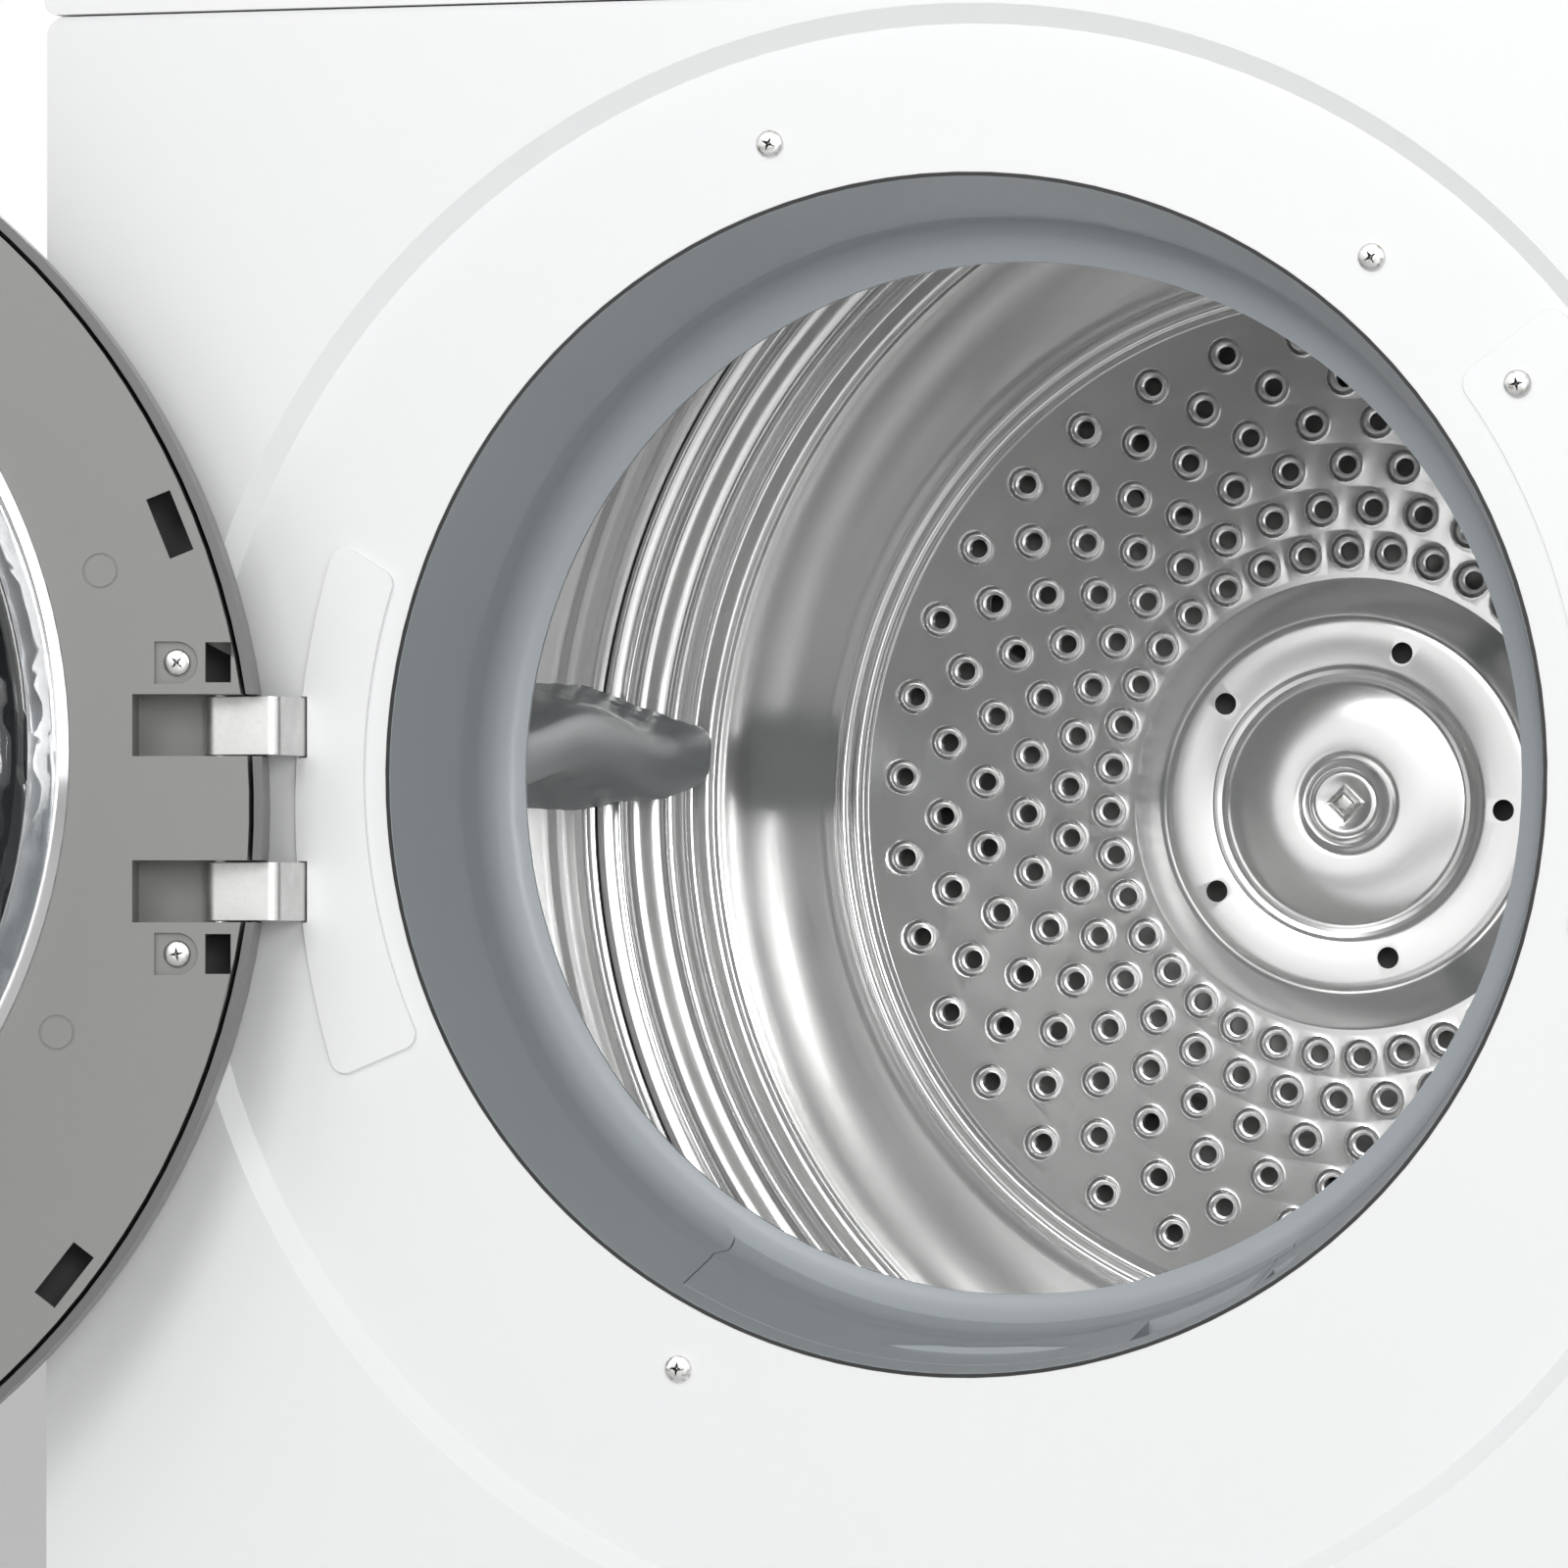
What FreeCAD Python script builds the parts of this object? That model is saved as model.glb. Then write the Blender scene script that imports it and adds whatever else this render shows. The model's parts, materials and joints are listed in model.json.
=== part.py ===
import FreeCAD, Part
import math
import os
from FreeCAD import Vector

# Front-loading heat-pump tumble dryer with its door standing open.
# Millimetres. X to the right seen from the front, Y to the back, Z up.
# The origin is on the floor under the middle of the cabinet.

# ---- cabinet ----
cabinet_width = 598.0
cabinet_depth = 600.0
cabinet_height = 845.0
foot_height = 15.0
worktop_thickness = 25.0
fascia_height = 115.0
fascia_depth = 40.0
fascia_proud = 2.0
fascia_wall = 2.5
plinth_height = 93.0
plinth_wall = 2.5
sheet = 1.0
panel_fold = 16.0
panel_corner_r = 6.0
seam_gap = 0.5
tray_wall = 3.0
tray_height = 45.0

# ---- door opening and the dish pressed round it ----
opening_below_panel_top = 243.0
opening_r = 187.0
door_overlap = 62.0
door_r = opening_r + door_overlap
recess_depth = 5.0
dish_outer_r = 256.0
dish_inner_r = 250.0
dish_drop = 17.0
gasket_width = 1.2
gasket_proud = 0.2
collar_flange_r = opening_r + door_overlap - 37.0
collar_flange_t = 3.0
collar_mouth_r = opening_r - 1.4
collar_waist_r = opening_r - 10.0
collar_waist_y = 40.0
collar_cove_y = 56.0
collar_lip_r = opening_r - 23.5
collar_length = 71.5
collar_wall = 3.0

# ---- drum ----
drum_drop = 2.0
drum_r = 279.0
drum_wall = 1.0
drum_front = 72.0
drum_seam = 508.0
drum_lip_r = drum_r - 17.0
shoulder_r = drum_r - 34.0
shoulder_depth = 37.0
back_disc_r = drum_r - 89.0
back_disc_y = 528.0
hole_r = 3.2
hole_rings = 6
holes_per_ring = 36
hub_r = 81.0
first_hole_ring_r = hub_r + 10.0
hole_ring_pitch = (back_disc_r - hub_r - 15.4) / hole_rings
hole_phase = 1.4
hub_top_r = hub_r - 13.0
hub_rise = 11.0
shaft_r = 10.0
shaft_length = 47.0
bearing_length = 18.0
bearing_outer_r = 22.0
lifter_count = 3
lifter_angle = 175.7
lifter_height = 45.0
lifter_base = 46.0
lifter_crest = 24.0
lifter_start = 150.0
lifter_end = 500.0
felt_width = 13.0
felt_gap = 0.5

# ---- hinge and door ----
hinge_drop = 10.0
hinge_spread = 26.0
pin_x = 15.0 - door_r
pin_front = 23.4
pin_r = 2.5
running_gap = 0.05
arm_thickness = 2.0
arm_height = 18.4
arm_reach = 21.0
bracket_width = 48.0
bracket_half = 55.0
slot_side_gap = 0.5
slot_end_gap = 5.0
door_open_angle = 165.0
door_face_gap = 6.5
door_frame_r = door_r - 4.4
door_frame_wall = 3.0
door_ring_wall = 3.0
door_rim = 29.0
door_thickness = 42.5
window_r = door_r - 59.0
bowl_rise = 8.0
trim_outer_r = door_r - 60.6
trim_inner_r = trim_outer_r - 13.4
bowl_wall = 4.0
bowl_depth = 77.0
bowl_shape = ((22.0, 0.0), (33.0, 40.0), (38.0, 52.0), (49.0, 66.0), (75.0, 74.0))
bowl_walls = ((0.25, 1.0), (0.75, 0.75), (1.0, 0.25), (1.0, 0.25), (1.0, 0.25))
door_screw_r = door_r - 22.4
door_screw_angles = (11.6, 65.0, 115.0, 168.4, 191.6, 245.0, 295.0, 348.4)
screw_head_r = 4.3
screw_recess_r = 6.6
screw_recess_depth = 2.0
key_hole_x = 14.1 - door_r
key_hole_rise = 45.6
key_hole_width = 8.0
key_hole_height = 12.5
clip_slot_r = door_r - 12.0
clip_slot_length = 20.0
clip_slot_width = 8.0
clip_slot_angles = (38.0, 98.0, 158.0, 218.0, 278.0, 338.0)
pip_r = 5.6
pip_depth = 0.5
pip_places = ((51.0 - door_r, 74.2), (64.6 - door_r, -70.2))
screw_shank_r = 2.0
hook_x = door_r - 28.0
hook_length = 22.0
catch_half = 14.0
catch_depth = 34.0

# ---- screws and cover plates on the front panel ----
panel_screw_r = collar_flange_r - 6.0
panel_screw_angles = (107.0, 50.0, 244.0)
plate_thickness = 2.0
hinge_plate_inner_r = collar_flange_r - 18.3
hinge_plate_angles = (161.0, 205.5)
hinge_plate_tip_x = 46.0 - door_r
hinge_plate_belly_x = 32.5 - door_r
hinge_plate_half = 85.0
latch_plate_inner_r = collar_flange_r - 13.0
latch_plate_outer_r = collar_flange_r + 26.0
latch_plate_angles = (-15.0, 37.0)
latch_screw_r = collar_flange_r + 2.0
latch_screw_angles = (-11.5, 33.5)

# ---- drive ----
belt_y = 290.0
belt_width = 8.0
belt_thickness = 2.6
belt_gap = 0.4
motor_x = 150.0
motor_z = 118.0
motor_pulley_r = 9.0
motor_shaft_r = 6.0
motor_r = 42.0
motor_length = 90.0
motor_setback = 22.0
motor_foot_half = 30.0
fan_clearance = 10.0
fan_r = 58.0
fan_width = 30.0
idler_x = 60.0
idler_z = 105.0
idler_r = 20.0
idler_width = 12.0
idler_axle_r = 4.0
idler_pivot_x = 105.0
idler_pivot_z = 62.0
idler_pivot_r = 5.0
idler_arm_width = 18.0
roller_r = 30.0
roller_width = 12.0
roller_axle_r = 6.0
roller_gap = 0.4
roller_angle = 30.0

# ---- controls, drawer and filter ----
knob_x = -20.0
knob_r = 24.0
power_x = -78.0
power_r = 8.0
start_x = 245.0
start_r = 11.0
button_gap = 0.5
display_left = 70.0
display_right = 215.0
display_height = 36.0
drawer_left = -286.0
drawer_width = 178.0
drawer_front_height = 90.0
drawer_height = 60.0
drawer_length = 358.0
drawer_gap = 1.0
drawer_wall = 2.0
drawer_grip_r = 34.0
drawer_grip_drop = 22.0
filter_half_width = 84.0
filter_thickness = 20.0
filter_front = 24.0
filter_depth = 124.0
filter_lid_half_width = 92.0
filter_lid_front = 10.0
filter_lid_back = 66.0
filter_gap = 0.4
flap_left = -275.0
flap_width = 200.0
flap_height = 70.0
flap_gap = 1.0

filter_grip_left = 52.0
filter_grip_right = 88.0
filter_grip_start = 12.5
filter_grip_end = 36.0
filter_grip_floor = opening_r - 1.0
filter_grip_wall = 1.6
collar_notch_left = 95.0
collar_notch_right = 103.0
collar_notch_length = 12.0
louvre_left = 40.0
louvre_right = 260.0
louvre_slot = 6.0
louvre_count = 5
knob_shaft_r = 4.0
knob_height = 19.5
board_margin = 45.0
board_half_height = 42.0
board_thickness = 2.0
board_case_depth = 14.0
board_setback = 20.0

# ---- feet, rear fittings and heat pump ----
foot_inset = 49.0
foot_stud_r = 5.0
foot_pad_r = 22.0
foot_boss_wall = 7.0
foot_boss_height = 25.0
spigot_x = 200.0
spigot_z = 150.0
spigot_r = 5.0
spigot_length = 17.0
kit_spread = 540.0
kit_levels = (180.0, 780.0)
kit_hole_r = 2.6
gland_x = -230.0
gland_z = 760.0
gland_half = 20.0
gland_depth = 6.0
gland_bore_r = 6.0
fan_blades = 24
fan_gap = 6.0
fan_blade_start = 36.0
compressor_x = -190.0
compressor_y = 465.0
compressor_r = 52.0
compressor_top = 140.0
exchanger_left = -280.0
exchanger_right = -110.0
exchanger_top = 140.0
evaporator_start = 65.0
evaporator_end = 185.0
condenser_start = 205.0
condenser_end = 355.0
fin_pitch = 10.0
fin_thickness = 1.0
pipe_r = 4.0
duct_r = 205.0
duct_half_width = 90.0
duct_depth = 22.0
duct_wall = 2.0
vent_ring_r = 145.0
vent_r = 20.0
pump_left = 20.0
pump_right = 90.0
pump_back = 40.0
pump_length = 60.0
pump_top = 80.0

# ---- places worked out from the sizes above ----
front_y = -cabinet_depth / 2
rear_y = cabinet_depth / 2
half_width = cabinet_width / 2
worktop_z = cabinet_height - worktop_thickness
panel_top_z = worktop_z - fascia_height
plinth_top_z = foot_height + plinth_height
opening_y = front_y + recess_depth
opening_z = panel_top_z - opening_below_panel_top
dish_z = opening_z - dish_drop
drum_z = opening_z - drum_drop
hinge_z = opening_z - hinge_drop
bowl_z = opening_z + bowl_rise
pin_y = opening_y - pin_front
drum_outer_r = drum_r + drum_wall
shoulder_y = drum_seam + shoulder_depth
eye_r = pin_r + running_gap + arm_thickness
slot_height = arm_height + 2 * slot_side_gap
door_face = -door_face_gap
rear_plate_y = back_disc_y + 35.0
front_plate_y = 57.0


def behind(distance):
    """Y of a plane that lies this far behind the door opening."""
    return opening_y + distance


def box(x0, x1, y0, y1, z0, z1):
    return Part.makeBox(x1 - x0, y1 - y0, z1 - z0, Vector(x0, y0, z0))


def rod_y(x, z, radius, y0, y1):
    return Part.makeCylinder(radius, y1 - y0, Vector(x, y0, z), Vector(0, 1, 0))


def rod_z(x, y, radius, z0, z1):
    return Part.makeCylinder(radius, z1 - z0, Vector(x, y, z0))


def tube_y(x, z, outer, inner, y0, y1):
    return rod_y(x, z, outer, y0, y1).cut(rod_y(x, z, inner, y0 - 1, y1 + 1))


def turned(profile, z, x=0.0):
    """Solid of revolution about the Y line through (x, z); profile points are (radius, y)."""
    points = [Vector(x + r, y, z) for r, y in profile]
    points.append(points[0])
    face = Part.Face(Part.makePolygon(points))
    return face.revolve(Vector(x, 0, z), Vector(0, 1, 0), 360)


def plan(points, z0, z1):
    """Prism from an outline in plan, points (x, y)."""
    corners = [Vector(x, y, z0) for x, y in points]
    corners.append(corners[0])
    return Part.Face(Part.makePolygon(corners)).extrude(Vector(0, 0, z1 - z0))


def round_edges(solid, direction, radius):
    """Fillet the straight edges that run along one axis."""
    edges = [e for e in solid.Edges if along(e, direction)]
    return solid.makeFillet(radius, edges)


def along(edge, direction):
    if len(edge.Vertexes) != 2:
        return False
    run = edge.Vertexes[1].Point.sub(edge.Vertexes[0].Point)
    return run.Length > 0 and abs(run.dot(direction)) > 0.999 * run.Length


def fuse(parts):
    return parts[0].fuse(parts[1:]).removeSplitter()


def polar(radius, degrees, z=opening_z):
    """X and Z of a point at an angle round the opening."""
    angle = math.radians(degrees)
    return radius * math.cos(angle), z + radius * math.sin(angle)


def sector(inner, outer, start, end, y0, y1, z=opening_z):
    """Piece of a flat ring between two angles, its corners rounded."""
    p0, p1 = [Vector(x, y0, zz) for x, zz in (polar(inner, start, z), polar(inner, end, z))]
    q0, q1 = [Vector(x, y0, zz) for x, zz in (polar(outer, start, z), polar(outer, end, z))]
    pm = polar(inner, (start + end) / 2, z)
    qm = polar(outer, (start + end) / 2, z)
    edges = [
        Part.Arc(p0, Vector(pm[0], y0, pm[1]), p1).toShape(),
        Part.makeLine(p1, q1),
        Part.Arc(q1, Vector(qm[0], y0, qm[1]), q0).toShape(),
        Part.makeLine(q0, p0),
    ]
    solid = Part.Face(Part.Wire(edges)).extrude(Vector(0, y1 - y0, 0))
    return round_edges(solid, Vector(0, 1, 0), panel_corner_r)


def opened(solid):
    """Swing a piece drawn with the door shut to where the open door stands."""
    moved = solid.copy()
    moved.rotate(Vector(pin_x, pin_y, 0), Vector(0, 0, 1), -door_open_angle)
    return moved


def save(name, shape):
    if not shape.isValid():
        raise ValueError(name + " is not a valid solid")
    shape.exportStep("parts/" + name + ".step")


# ---- cabinet ----

def side_panel(side):
    outer = side * half_width
    inner = side * (half_width - sheet)
    lip = side * (half_width - panel_fold)
    y0 = front_y + panel_fold + seam_gap
    y1 = rear_y - sheet
    outline = [
        (outer, y0), (lip, y0), (lip, y0 + sheet), (inner, y0 + sheet),
        (inner, y1 - sheet), (lip, y1 - sheet), (lip, y1), (outer, y1),
    ]
    panel = plan(outline, foot_height + tray_height, worktop_z)
    notch_back = front_y + fascia_depth + seam_gap
    return panel.cut(box(-half_width - 1, half_width + 1, front_y, notch_back, panel_top_z, cabinet_height))


def rear_panel():
    plate = box(-half_width + sheet, half_width - sheet, rear_y - sheet, rear_y, foot_height, worktop_z)
    hole = rod_y(spigot_x, spigot_z, spigot_r - 1 + seam_gap, rear_y - 5, rear_y + 5)
    return plate.cut([hole] + [rod_y(x, z, kit_hole_r, rear_y - 5, rear_y + 5) for x, z in kit_holes()])


def kit_holes():
    return [(x, z) for x in (-kit_spread / 2, kit_spread / 2) for z in kit_levels]


def worktop():
    slab = box(-half_width, half_width, front_y - fascia_proud, rear_y, worktop_z, cabinet_height)
    slab = round_edges(slab, Vector(0, 0, 1), panel_corner_r)
    top = [e for e in slab.Edges if e.BoundBox.ZMin > cabinet_height - 0.1]
    return slab.makeFillet(2.0, top)


def dish():
    """The round recess pressed into the front panel."""
    return turned([
        (dish_outer_r, front_y), (dish_inner_r, opening_y), (0, opening_y),
        (0, opening_y + sheet), (dish_inner_r, opening_y + sheet), (dish_outer_r, front_y + sheet),
    ], dish_z)


def front_panel():
    low = plinth_top_z + seam_gap
    high = panel_top_z - seam_gap
    shell = box(-half_width, half_width, front_y, front_y + panel_fold, low, high)
    shell = round_edges(shell, Vector(0, 1, 0), panel_corner_r)
    shell = shell.cut(box(-half_width + sheet, half_width - sheet, front_y + sheet, front_y + 20,
                          low + sheet, high - sheet))
    shell = shell.cut(rod_y(0, dish_z, dish_outer_r, front_y - 1, front_y + 5))
    panel = shell.fuse(dish())
    cuts = [rod_y(0, opening_z, opening_r, front_y - 5, opening_y + 5)]
    cuts += arm_holes()
    cuts += [catch_hole()]
    cuts += [rod_y(x, z, screw_shank_r + 0.2, front_y - 5, opening_y + 5) for x, z in screw_places()]
    return panel.cut(cuts).removeSplitter()


def screw_places():
    """Every screw that passes through the front panel."""
    places = [polar(panel_screw_r, a) for a in panel_screw_angles]
    return places + [polar(latch_screw_r, a) for a in latch_screw_angles]


def arm_levels():
    return (hinge_z + hinge_spread, hinge_z - hinge_spread)


def arm_holes():
    """Slots through the panel and its cover plate for the two hinge arms."""
    right = pin_x + arm_reach
    return [box(right - arm_thickness - seam_gap, right + seam_gap, front_y - 5, opening_y + 5,
                z - arm_height / 2 - seam_gap, z + arm_height / 2 + seam_gap) for z in arm_levels()]


def catch_hole():
    return box(hook_x - 8, hook_x + 9, front_y - 5, opening_y + 5, hinge_z - 11, hinge_z + 11)


def panel_screws():
    """Pan-head screws that hold the collar and the latch cover."""
    screws = []
    for x, z in [polar(panel_screw_r, a) for a in panel_screw_angles]:
        screws.append(screw(x, z, opening_y))
    for x, z in [polar(latch_screw_r, a) for a in latch_screw_angles]:
        screws.append(screw(x, z, opening_y - plate_thickness))
    return Part.makeCompound(screws)


def screw(x, z, seat_y):
    head = turned([(0, seat_y - 2.4), (2.4, seat_y - 2.2), (screw_head_r, seat_y - 1.0),
                   (screw_head_r, seat_y), (0, seat_y)], z, x)
    return head.fuse(rod_y(x, z, screw_shank_r, seat_y, seat_y + 12)).removeSplitter()


def hinge_cover_plate():
    """Cover with an arc inside, a flatter arc outside and slots for the arms."""
    start, end = hinge_plate_angles
    tip = hinge_plate_tip_x
    belly = hinge_plate_belly_x
    y0 = opening_y - plate_thickness
    inner = [polar(hinge_plate_inner_r, a) for a in (start, (start + end) / 2, end)]
    outer = [(tip, hinge_z + hinge_plate_half), (belly, hinge_z), (tip, hinge_z - hinge_plate_half)]
    edges = [
        Part.Arc(*[Vector(x, y0, z) for x, z in inner]).toShape(),
        Part.makeLine(Vector(inner[2][0], y0, inner[2][1]), Vector(outer[2][0], y0, outer[2][1])),
        Part.Arc(*[Vector(x, y0, z) for x, z in reversed(outer)]).toShape(),
        Part.makeLine(Vector(outer[0][0], y0, outer[0][1]), Vector(inner[0][0], y0, inner[0][1])),
    ]
    plate = Part.Face(Part.Wire(edges)).extrude(Vector(0, plate_thickness, 0))
    plate = round_edges(plate, Vector(0, 1, 0), 5.0)
    return plate.cut(arm_holes())


def latch_cover_plate():
    start, end = latch_plate_angles
    face = opening_y - plate_thickness
    plate = sector(latch_plate_inner_r, latch_plate_outer_r, start, end, face, opening_y)
    holes = [rod_y(x, z, screw_shank_r + 0.2, front_y - 5, opening_y + 5) for x, z in screw_places()]
    return plate.cut([catch_hole()] + holes)


def door_catch():
    """Housing behind the panel that the latch hook enters."""
    y0 = opening_y + sheet
    body = box(hook_x - catch_half, hook_x + catch_half, y0, y0 + catch_depth, hinge_z - 20, hinge_z + 20)
    body = body.cut(box(hook_x - 8, hook_x + 9, y0 - 1, y0 + catch_depth - 8, hinge_z - 11, hinge_z + 11))
    return body.cut(rod_y(0, opening_z, collar_flange_r + seam_gap, y0 - 1, y0 + 5))


def collar_profile():
    """Section of the throat from its mouth back to its lip, as (radius, y)."""
    mouth = behind(0.3)
    flange = opening_y + sheet
    wall = collar_wall
    end = behind(collar_length)
    inside = [(collar_mouth_r, mouth), (collar_waist_r, behind(collar_waist_y)),
              (collar_waist_r - 0.7, behind(collar_waist_y + 1.2))]
    cove = collar_cove()
    outside = [(r + wall, y) for r, y in reversed(cove)]
    return inside + cove + [(collar_lip_r, end), (collar_lip_r + wall, end)] + outside + [
        (collar_waist_r + wall, behind(collar_waist_y + 3)),
        (opening_r + 2, flange + collar_flange_t), (collar_flange_r, flange + collar_flange_t),
        (collar_flange_r, flange), (opening_r - 0.1, flange), (opening_r - 0.1, mouth),
    ]


def collar_cove():
    """Hollow curve from the waist in to the lip, as (radius, y)."""
    start = collar_waist_r - 1.2
    length = collar_length - 1.5 - collar_cove_y
    points = [(start + 0.3, behind(collar_waist_y + 4))]
    for i in range(7):
        angle = math.radians(15.0 * i)
        points.append((start - (start - collar_lip_r) * (1 - math.cos(angle)),
                       behind(collar_cove_y + length * math.sin(angle))))
    return points


def lid_block(gap):
    half = filter_lid_half_width - gap
    return box(-half, half, behind(filter_lid_front + gap), behind(filter_lid_back - gap),
               opening_z - opening_r - 20, opening_z - 100)


def door_collar():
    collar = turned(collar_profile(), opening_z)
    holes = [rod_y(x, z, screw_shank_r + 0.2, front_y - 5, opening_y + 9) for x, z in screw_places()]
    start = behind(filter_grip_start)
    notch = box(collar_notch_left, collar_notch_right, start, start + collar_notch_length,
                opening_z - filter_grip_floor + 10, opening_z - collar_waist_r / 2)
    return collar.cut([lid_block(0), notch] + holes)


def opening_gasket():
    return tube_y(0, opening_z, opening_r - 0.1, opening_r - gasket_width, behind(-gasket_proud), behind(0.3))


def control_fascia():
    y0 = front_y - fascia_proud
    low = panel_top_z
    shell = box(-half_width, half_width, y0, front_y + fascia_depth, low, worktop_z)
    shell = round_edges(shell, Vector(0, 1, 0), 4.0)
    shell = shell.cut(box(-half_width + fascia_wall, half_width - fascia_wall, y0 + fascia_wall,
                          front_y + 50, low + fascia_wall, worktop_z - fascia_wall))
    centre = controls_z()
    cuts = [
        box(drawer_left - drawer_gap, drawer_left + drawer_width + drawer_gap, y0 - 1, y0 + 5,
            drawer_z() - drawer_gap, drawer_z() + drawer_front_height + drawer_gap),
        box(display_left, display_right, y0 - 1, y0 + 5,
            centre - display_height / 2, centre + display_height / 2),
        rod_y(knob_x, centre, knob_shaft_r + button_gap, y0 - 1, y0 + 5),
        rod_y(power_x, centre, power_r + button_gap, y0 - 1, y0 + 5),
        rod_y(start_x, centre, start_r + button_gap, y0 - 1, y0 + 5),
    ]
    return shell.cut(cuts)


def controls_z():
    return panel_top_z + fascia_height / 2


def drawer_z():
    """Underside of the drawer's front."""
    return controls_z() - drawer_front_height / 2


def display_window():
    y0 = front_y - fascia_proud - 0.3
    centre = controls_z()
    return box(display_left, display_right, y0, y0 + fascia_wall,
               centre - display_height / 2, centre + display_height / 2)


def control_board():
    centre = controls_z()
    half = board_half_height
    y0 = front_y + board_setback
    y1 = y0 + board_thickness
    left = display_left - board_margin
    right = start_x + start_r + board_margin / 2
    board = box(left + 5, right - 5, y0, y1, centre - half + 4, centre + half - 4)
    case = box(left, right, y1, y1 + board_case_depth, centre - half, centre + half)
    return board.fuse(case).removeSplitter()


def plinth_panel():
    low = foot_height
    shell = box(-half_width, half_width, front_y, front_y + panel_fold, low, plinth_top_z)
    shell = shell.cut(box(-half_width + plinth_wall, half_width - plinth_wall, front_y + plinth_wall,
                          front_y + 20, low + plinth_wall, plinth_top_z - plinth_wall))
    z0 = flap_z()
    flap_hole = box(flap_left - flap_gap, flap_left + flap_width + flap_gap, front_y - 1, front_y + 5,
                    z0 - flap_gap, z0 + flap_height + flap_gap)
    louvres = [box(louvre_left, louvre_right, front_y - 1, front_y + 5, z, z + louvre_slot)
               for z in louvre_levels()]
    return shell.cut([flap_hole] + louvres)


def flap_z():
    return foot_height + (plinth_height - flap_height) / 2


def louvre_levels():
    first = foot_height + (plinth_height - (2 * louvre_count - 1) * louvre_slot) / 2
    return [first + i * 2 * louvre_slot for i in range(louvre_count)]


def base_tray():
    low = foot_height
    high = low + tray_height
    half = half_width - sheet
    y0 = front_y + panel_fold + seam_gap
    y1 = rear_y - sheet - seam_gap
    tray = box(-half, half, y0, y1, low, high)
    tray = tray.cut(box(-half + tray_wall, half - tray_wall, y0 + tray_wall, y1 - tray_wall,
                        low + tray_wall, high + 1))
    boss_r = foot_stud_r + foot_boss_wall
    bosses = [rod_z(x, y, boss_r, low, low + foot_boss_height) for x, y in foot_places()]
    post = box(idler_pivot_x - 12, idler_pivot_x + 12, behind(belt_y + 13), behind(belt_y + 23),
               low + 1, idler_pivot_z + 9)
    pin = rod_y(idler_pivot_x, idler_pivot_z, idler_pivot_r, behind(belt_y + 5), behind(belt_y + 14))
    tray = fuse([tray, post, pin] + bosses)
    return tray.cut([rod_z(x, y, foot_stud_r + seam_gap, low - 1, low + 30) for x, y in foot_places()])


def foot_places():
    x = half_width - foot_inset
    y = cabinet_depth / 2 - foot_inset
    return [(-x, -y), (x, -y), (-x, y), (x, y)]


def levelling_foot(x, y):
    pad = rod_z(x, y, foot_pad_r, 0, foot_height - 5)
    pad = pad.makeFillet(2.0, [e for e in pad.Edges if e.BoundBox.ZMin > 1])
    return pad.fuse(rod_z(x, y, foot_stud_r, foot_height - 6, foot_height + 22)).removeSplitter()


# ---- drum and what carries it ----

def drum_shell():
    """Rolled tube with its front edge turned in."""
    y0 = behind(drum_front)
    return turned([
        (drum_lip_r, y0), (drum_outer_r, y0), (drum_outer_r, behind(drum_seam)),
        (drum_r, behind(drum_seam)), (drum_r, y0 + drum_wall), (drum_lip_r, y0 + drum_wall),
    ], drum_z)


def drum_back():
    """Pressed end: sloping shoulder, smooth annulus and perforated disc."""
    wall = drum_wall
    y0 = behind(drum_seam)
    disc = behind(back_disc_y)
    plate = turned([
        (drum_r, y0), (shoulder_r, behind(shoulder_y)), (back_disc_r, disc), (hub_r - 6, disc),
        (hub_r - 6, disc + wall), (back_disc_r, disc + wall), (shoulder_r, behind(shoulder_y) + 1.4 * wall),
        (drum_outer_r, y0 + 0.5), (drum_outer_r, y0),
    ], drum_z)
    return plate.cut([rod_y(x, z, hole_r, disc - 1, disc + 3) for x, z in back_holes()])


def back_holes():
    places = []
    for ring in range(hole_rings):
        radius = first_hole_ring_r + ring * hole_ring_pitch
        for i in range(holes_per_ring):
            turn = hole_phase + (i + 0.5 * (ring % 2)) * 360.0 / holes_per_ring
            places.append(polar(radius, turn, drum_z))
    return places


def drum_hub():
    """Raised hub plate with the shaft behind it."""
    disc = behind(back_disc_y)
    top = disc - hub_rise
    plate = turned([
        (0, top), (hub_top_r, top), (hub_r, disc - drum_wall), (hub_r, disc),
        (hub_top_r, top + 2), (24, top + 2), (24, disc + 4), (shaft_r, disc + 4),
        (shaft_r, disc + shaft_length), (0, disc + shaft_length),
    ], drum_z)
    recess = box(-4.5, 4.5, top - 1, top + 4, drum_z - 4.5, drum_z + 4.5)
    recess.rotate(Vector(0, 0, drum_z), Vector(0, 1, 0), 45)
    return plate.cut(recess)


def drum_lifters():
    """Three hollow-looking paddles whose crests lean over a sloping foot."""
    foot = drum_r - 0.2
    half = lifter_base / 2
    crest = drum_r - lifter_height
    y0 = behind(lifter_start)
    wide = lifter_crest / 2 + 3
    flat = lifter_crest / 2 - 4
    corners = [(foot, -half), (foot, half), (crest + 8, wide), (crest, flat), (crest, -flat),
               (crest + 8, -wide)]
    points = [Vector(r, y0, drum_z + t) for r, t in corners]
    points.append(points[0])
    bar = Part.Face(Part.makePolygon(points)).extrude(Vector(0, lifter_end - lifter_start, 0))
    bar = bar.common(rod_y(0, drum_z, foot, y0 - 1, behind(lifter_end) + 1))
    lifters = []
    for i in range(lifter_count):
        lifter = bar.copy()
        lifter.rotate(Vector(0, 0, drum_z), Vector(0, 1, 0), -(lifter_angle + i * 360.0 / lifter_count))
        lifters.append(lifter)
    return Part.makeCompound(lifters)


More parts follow.
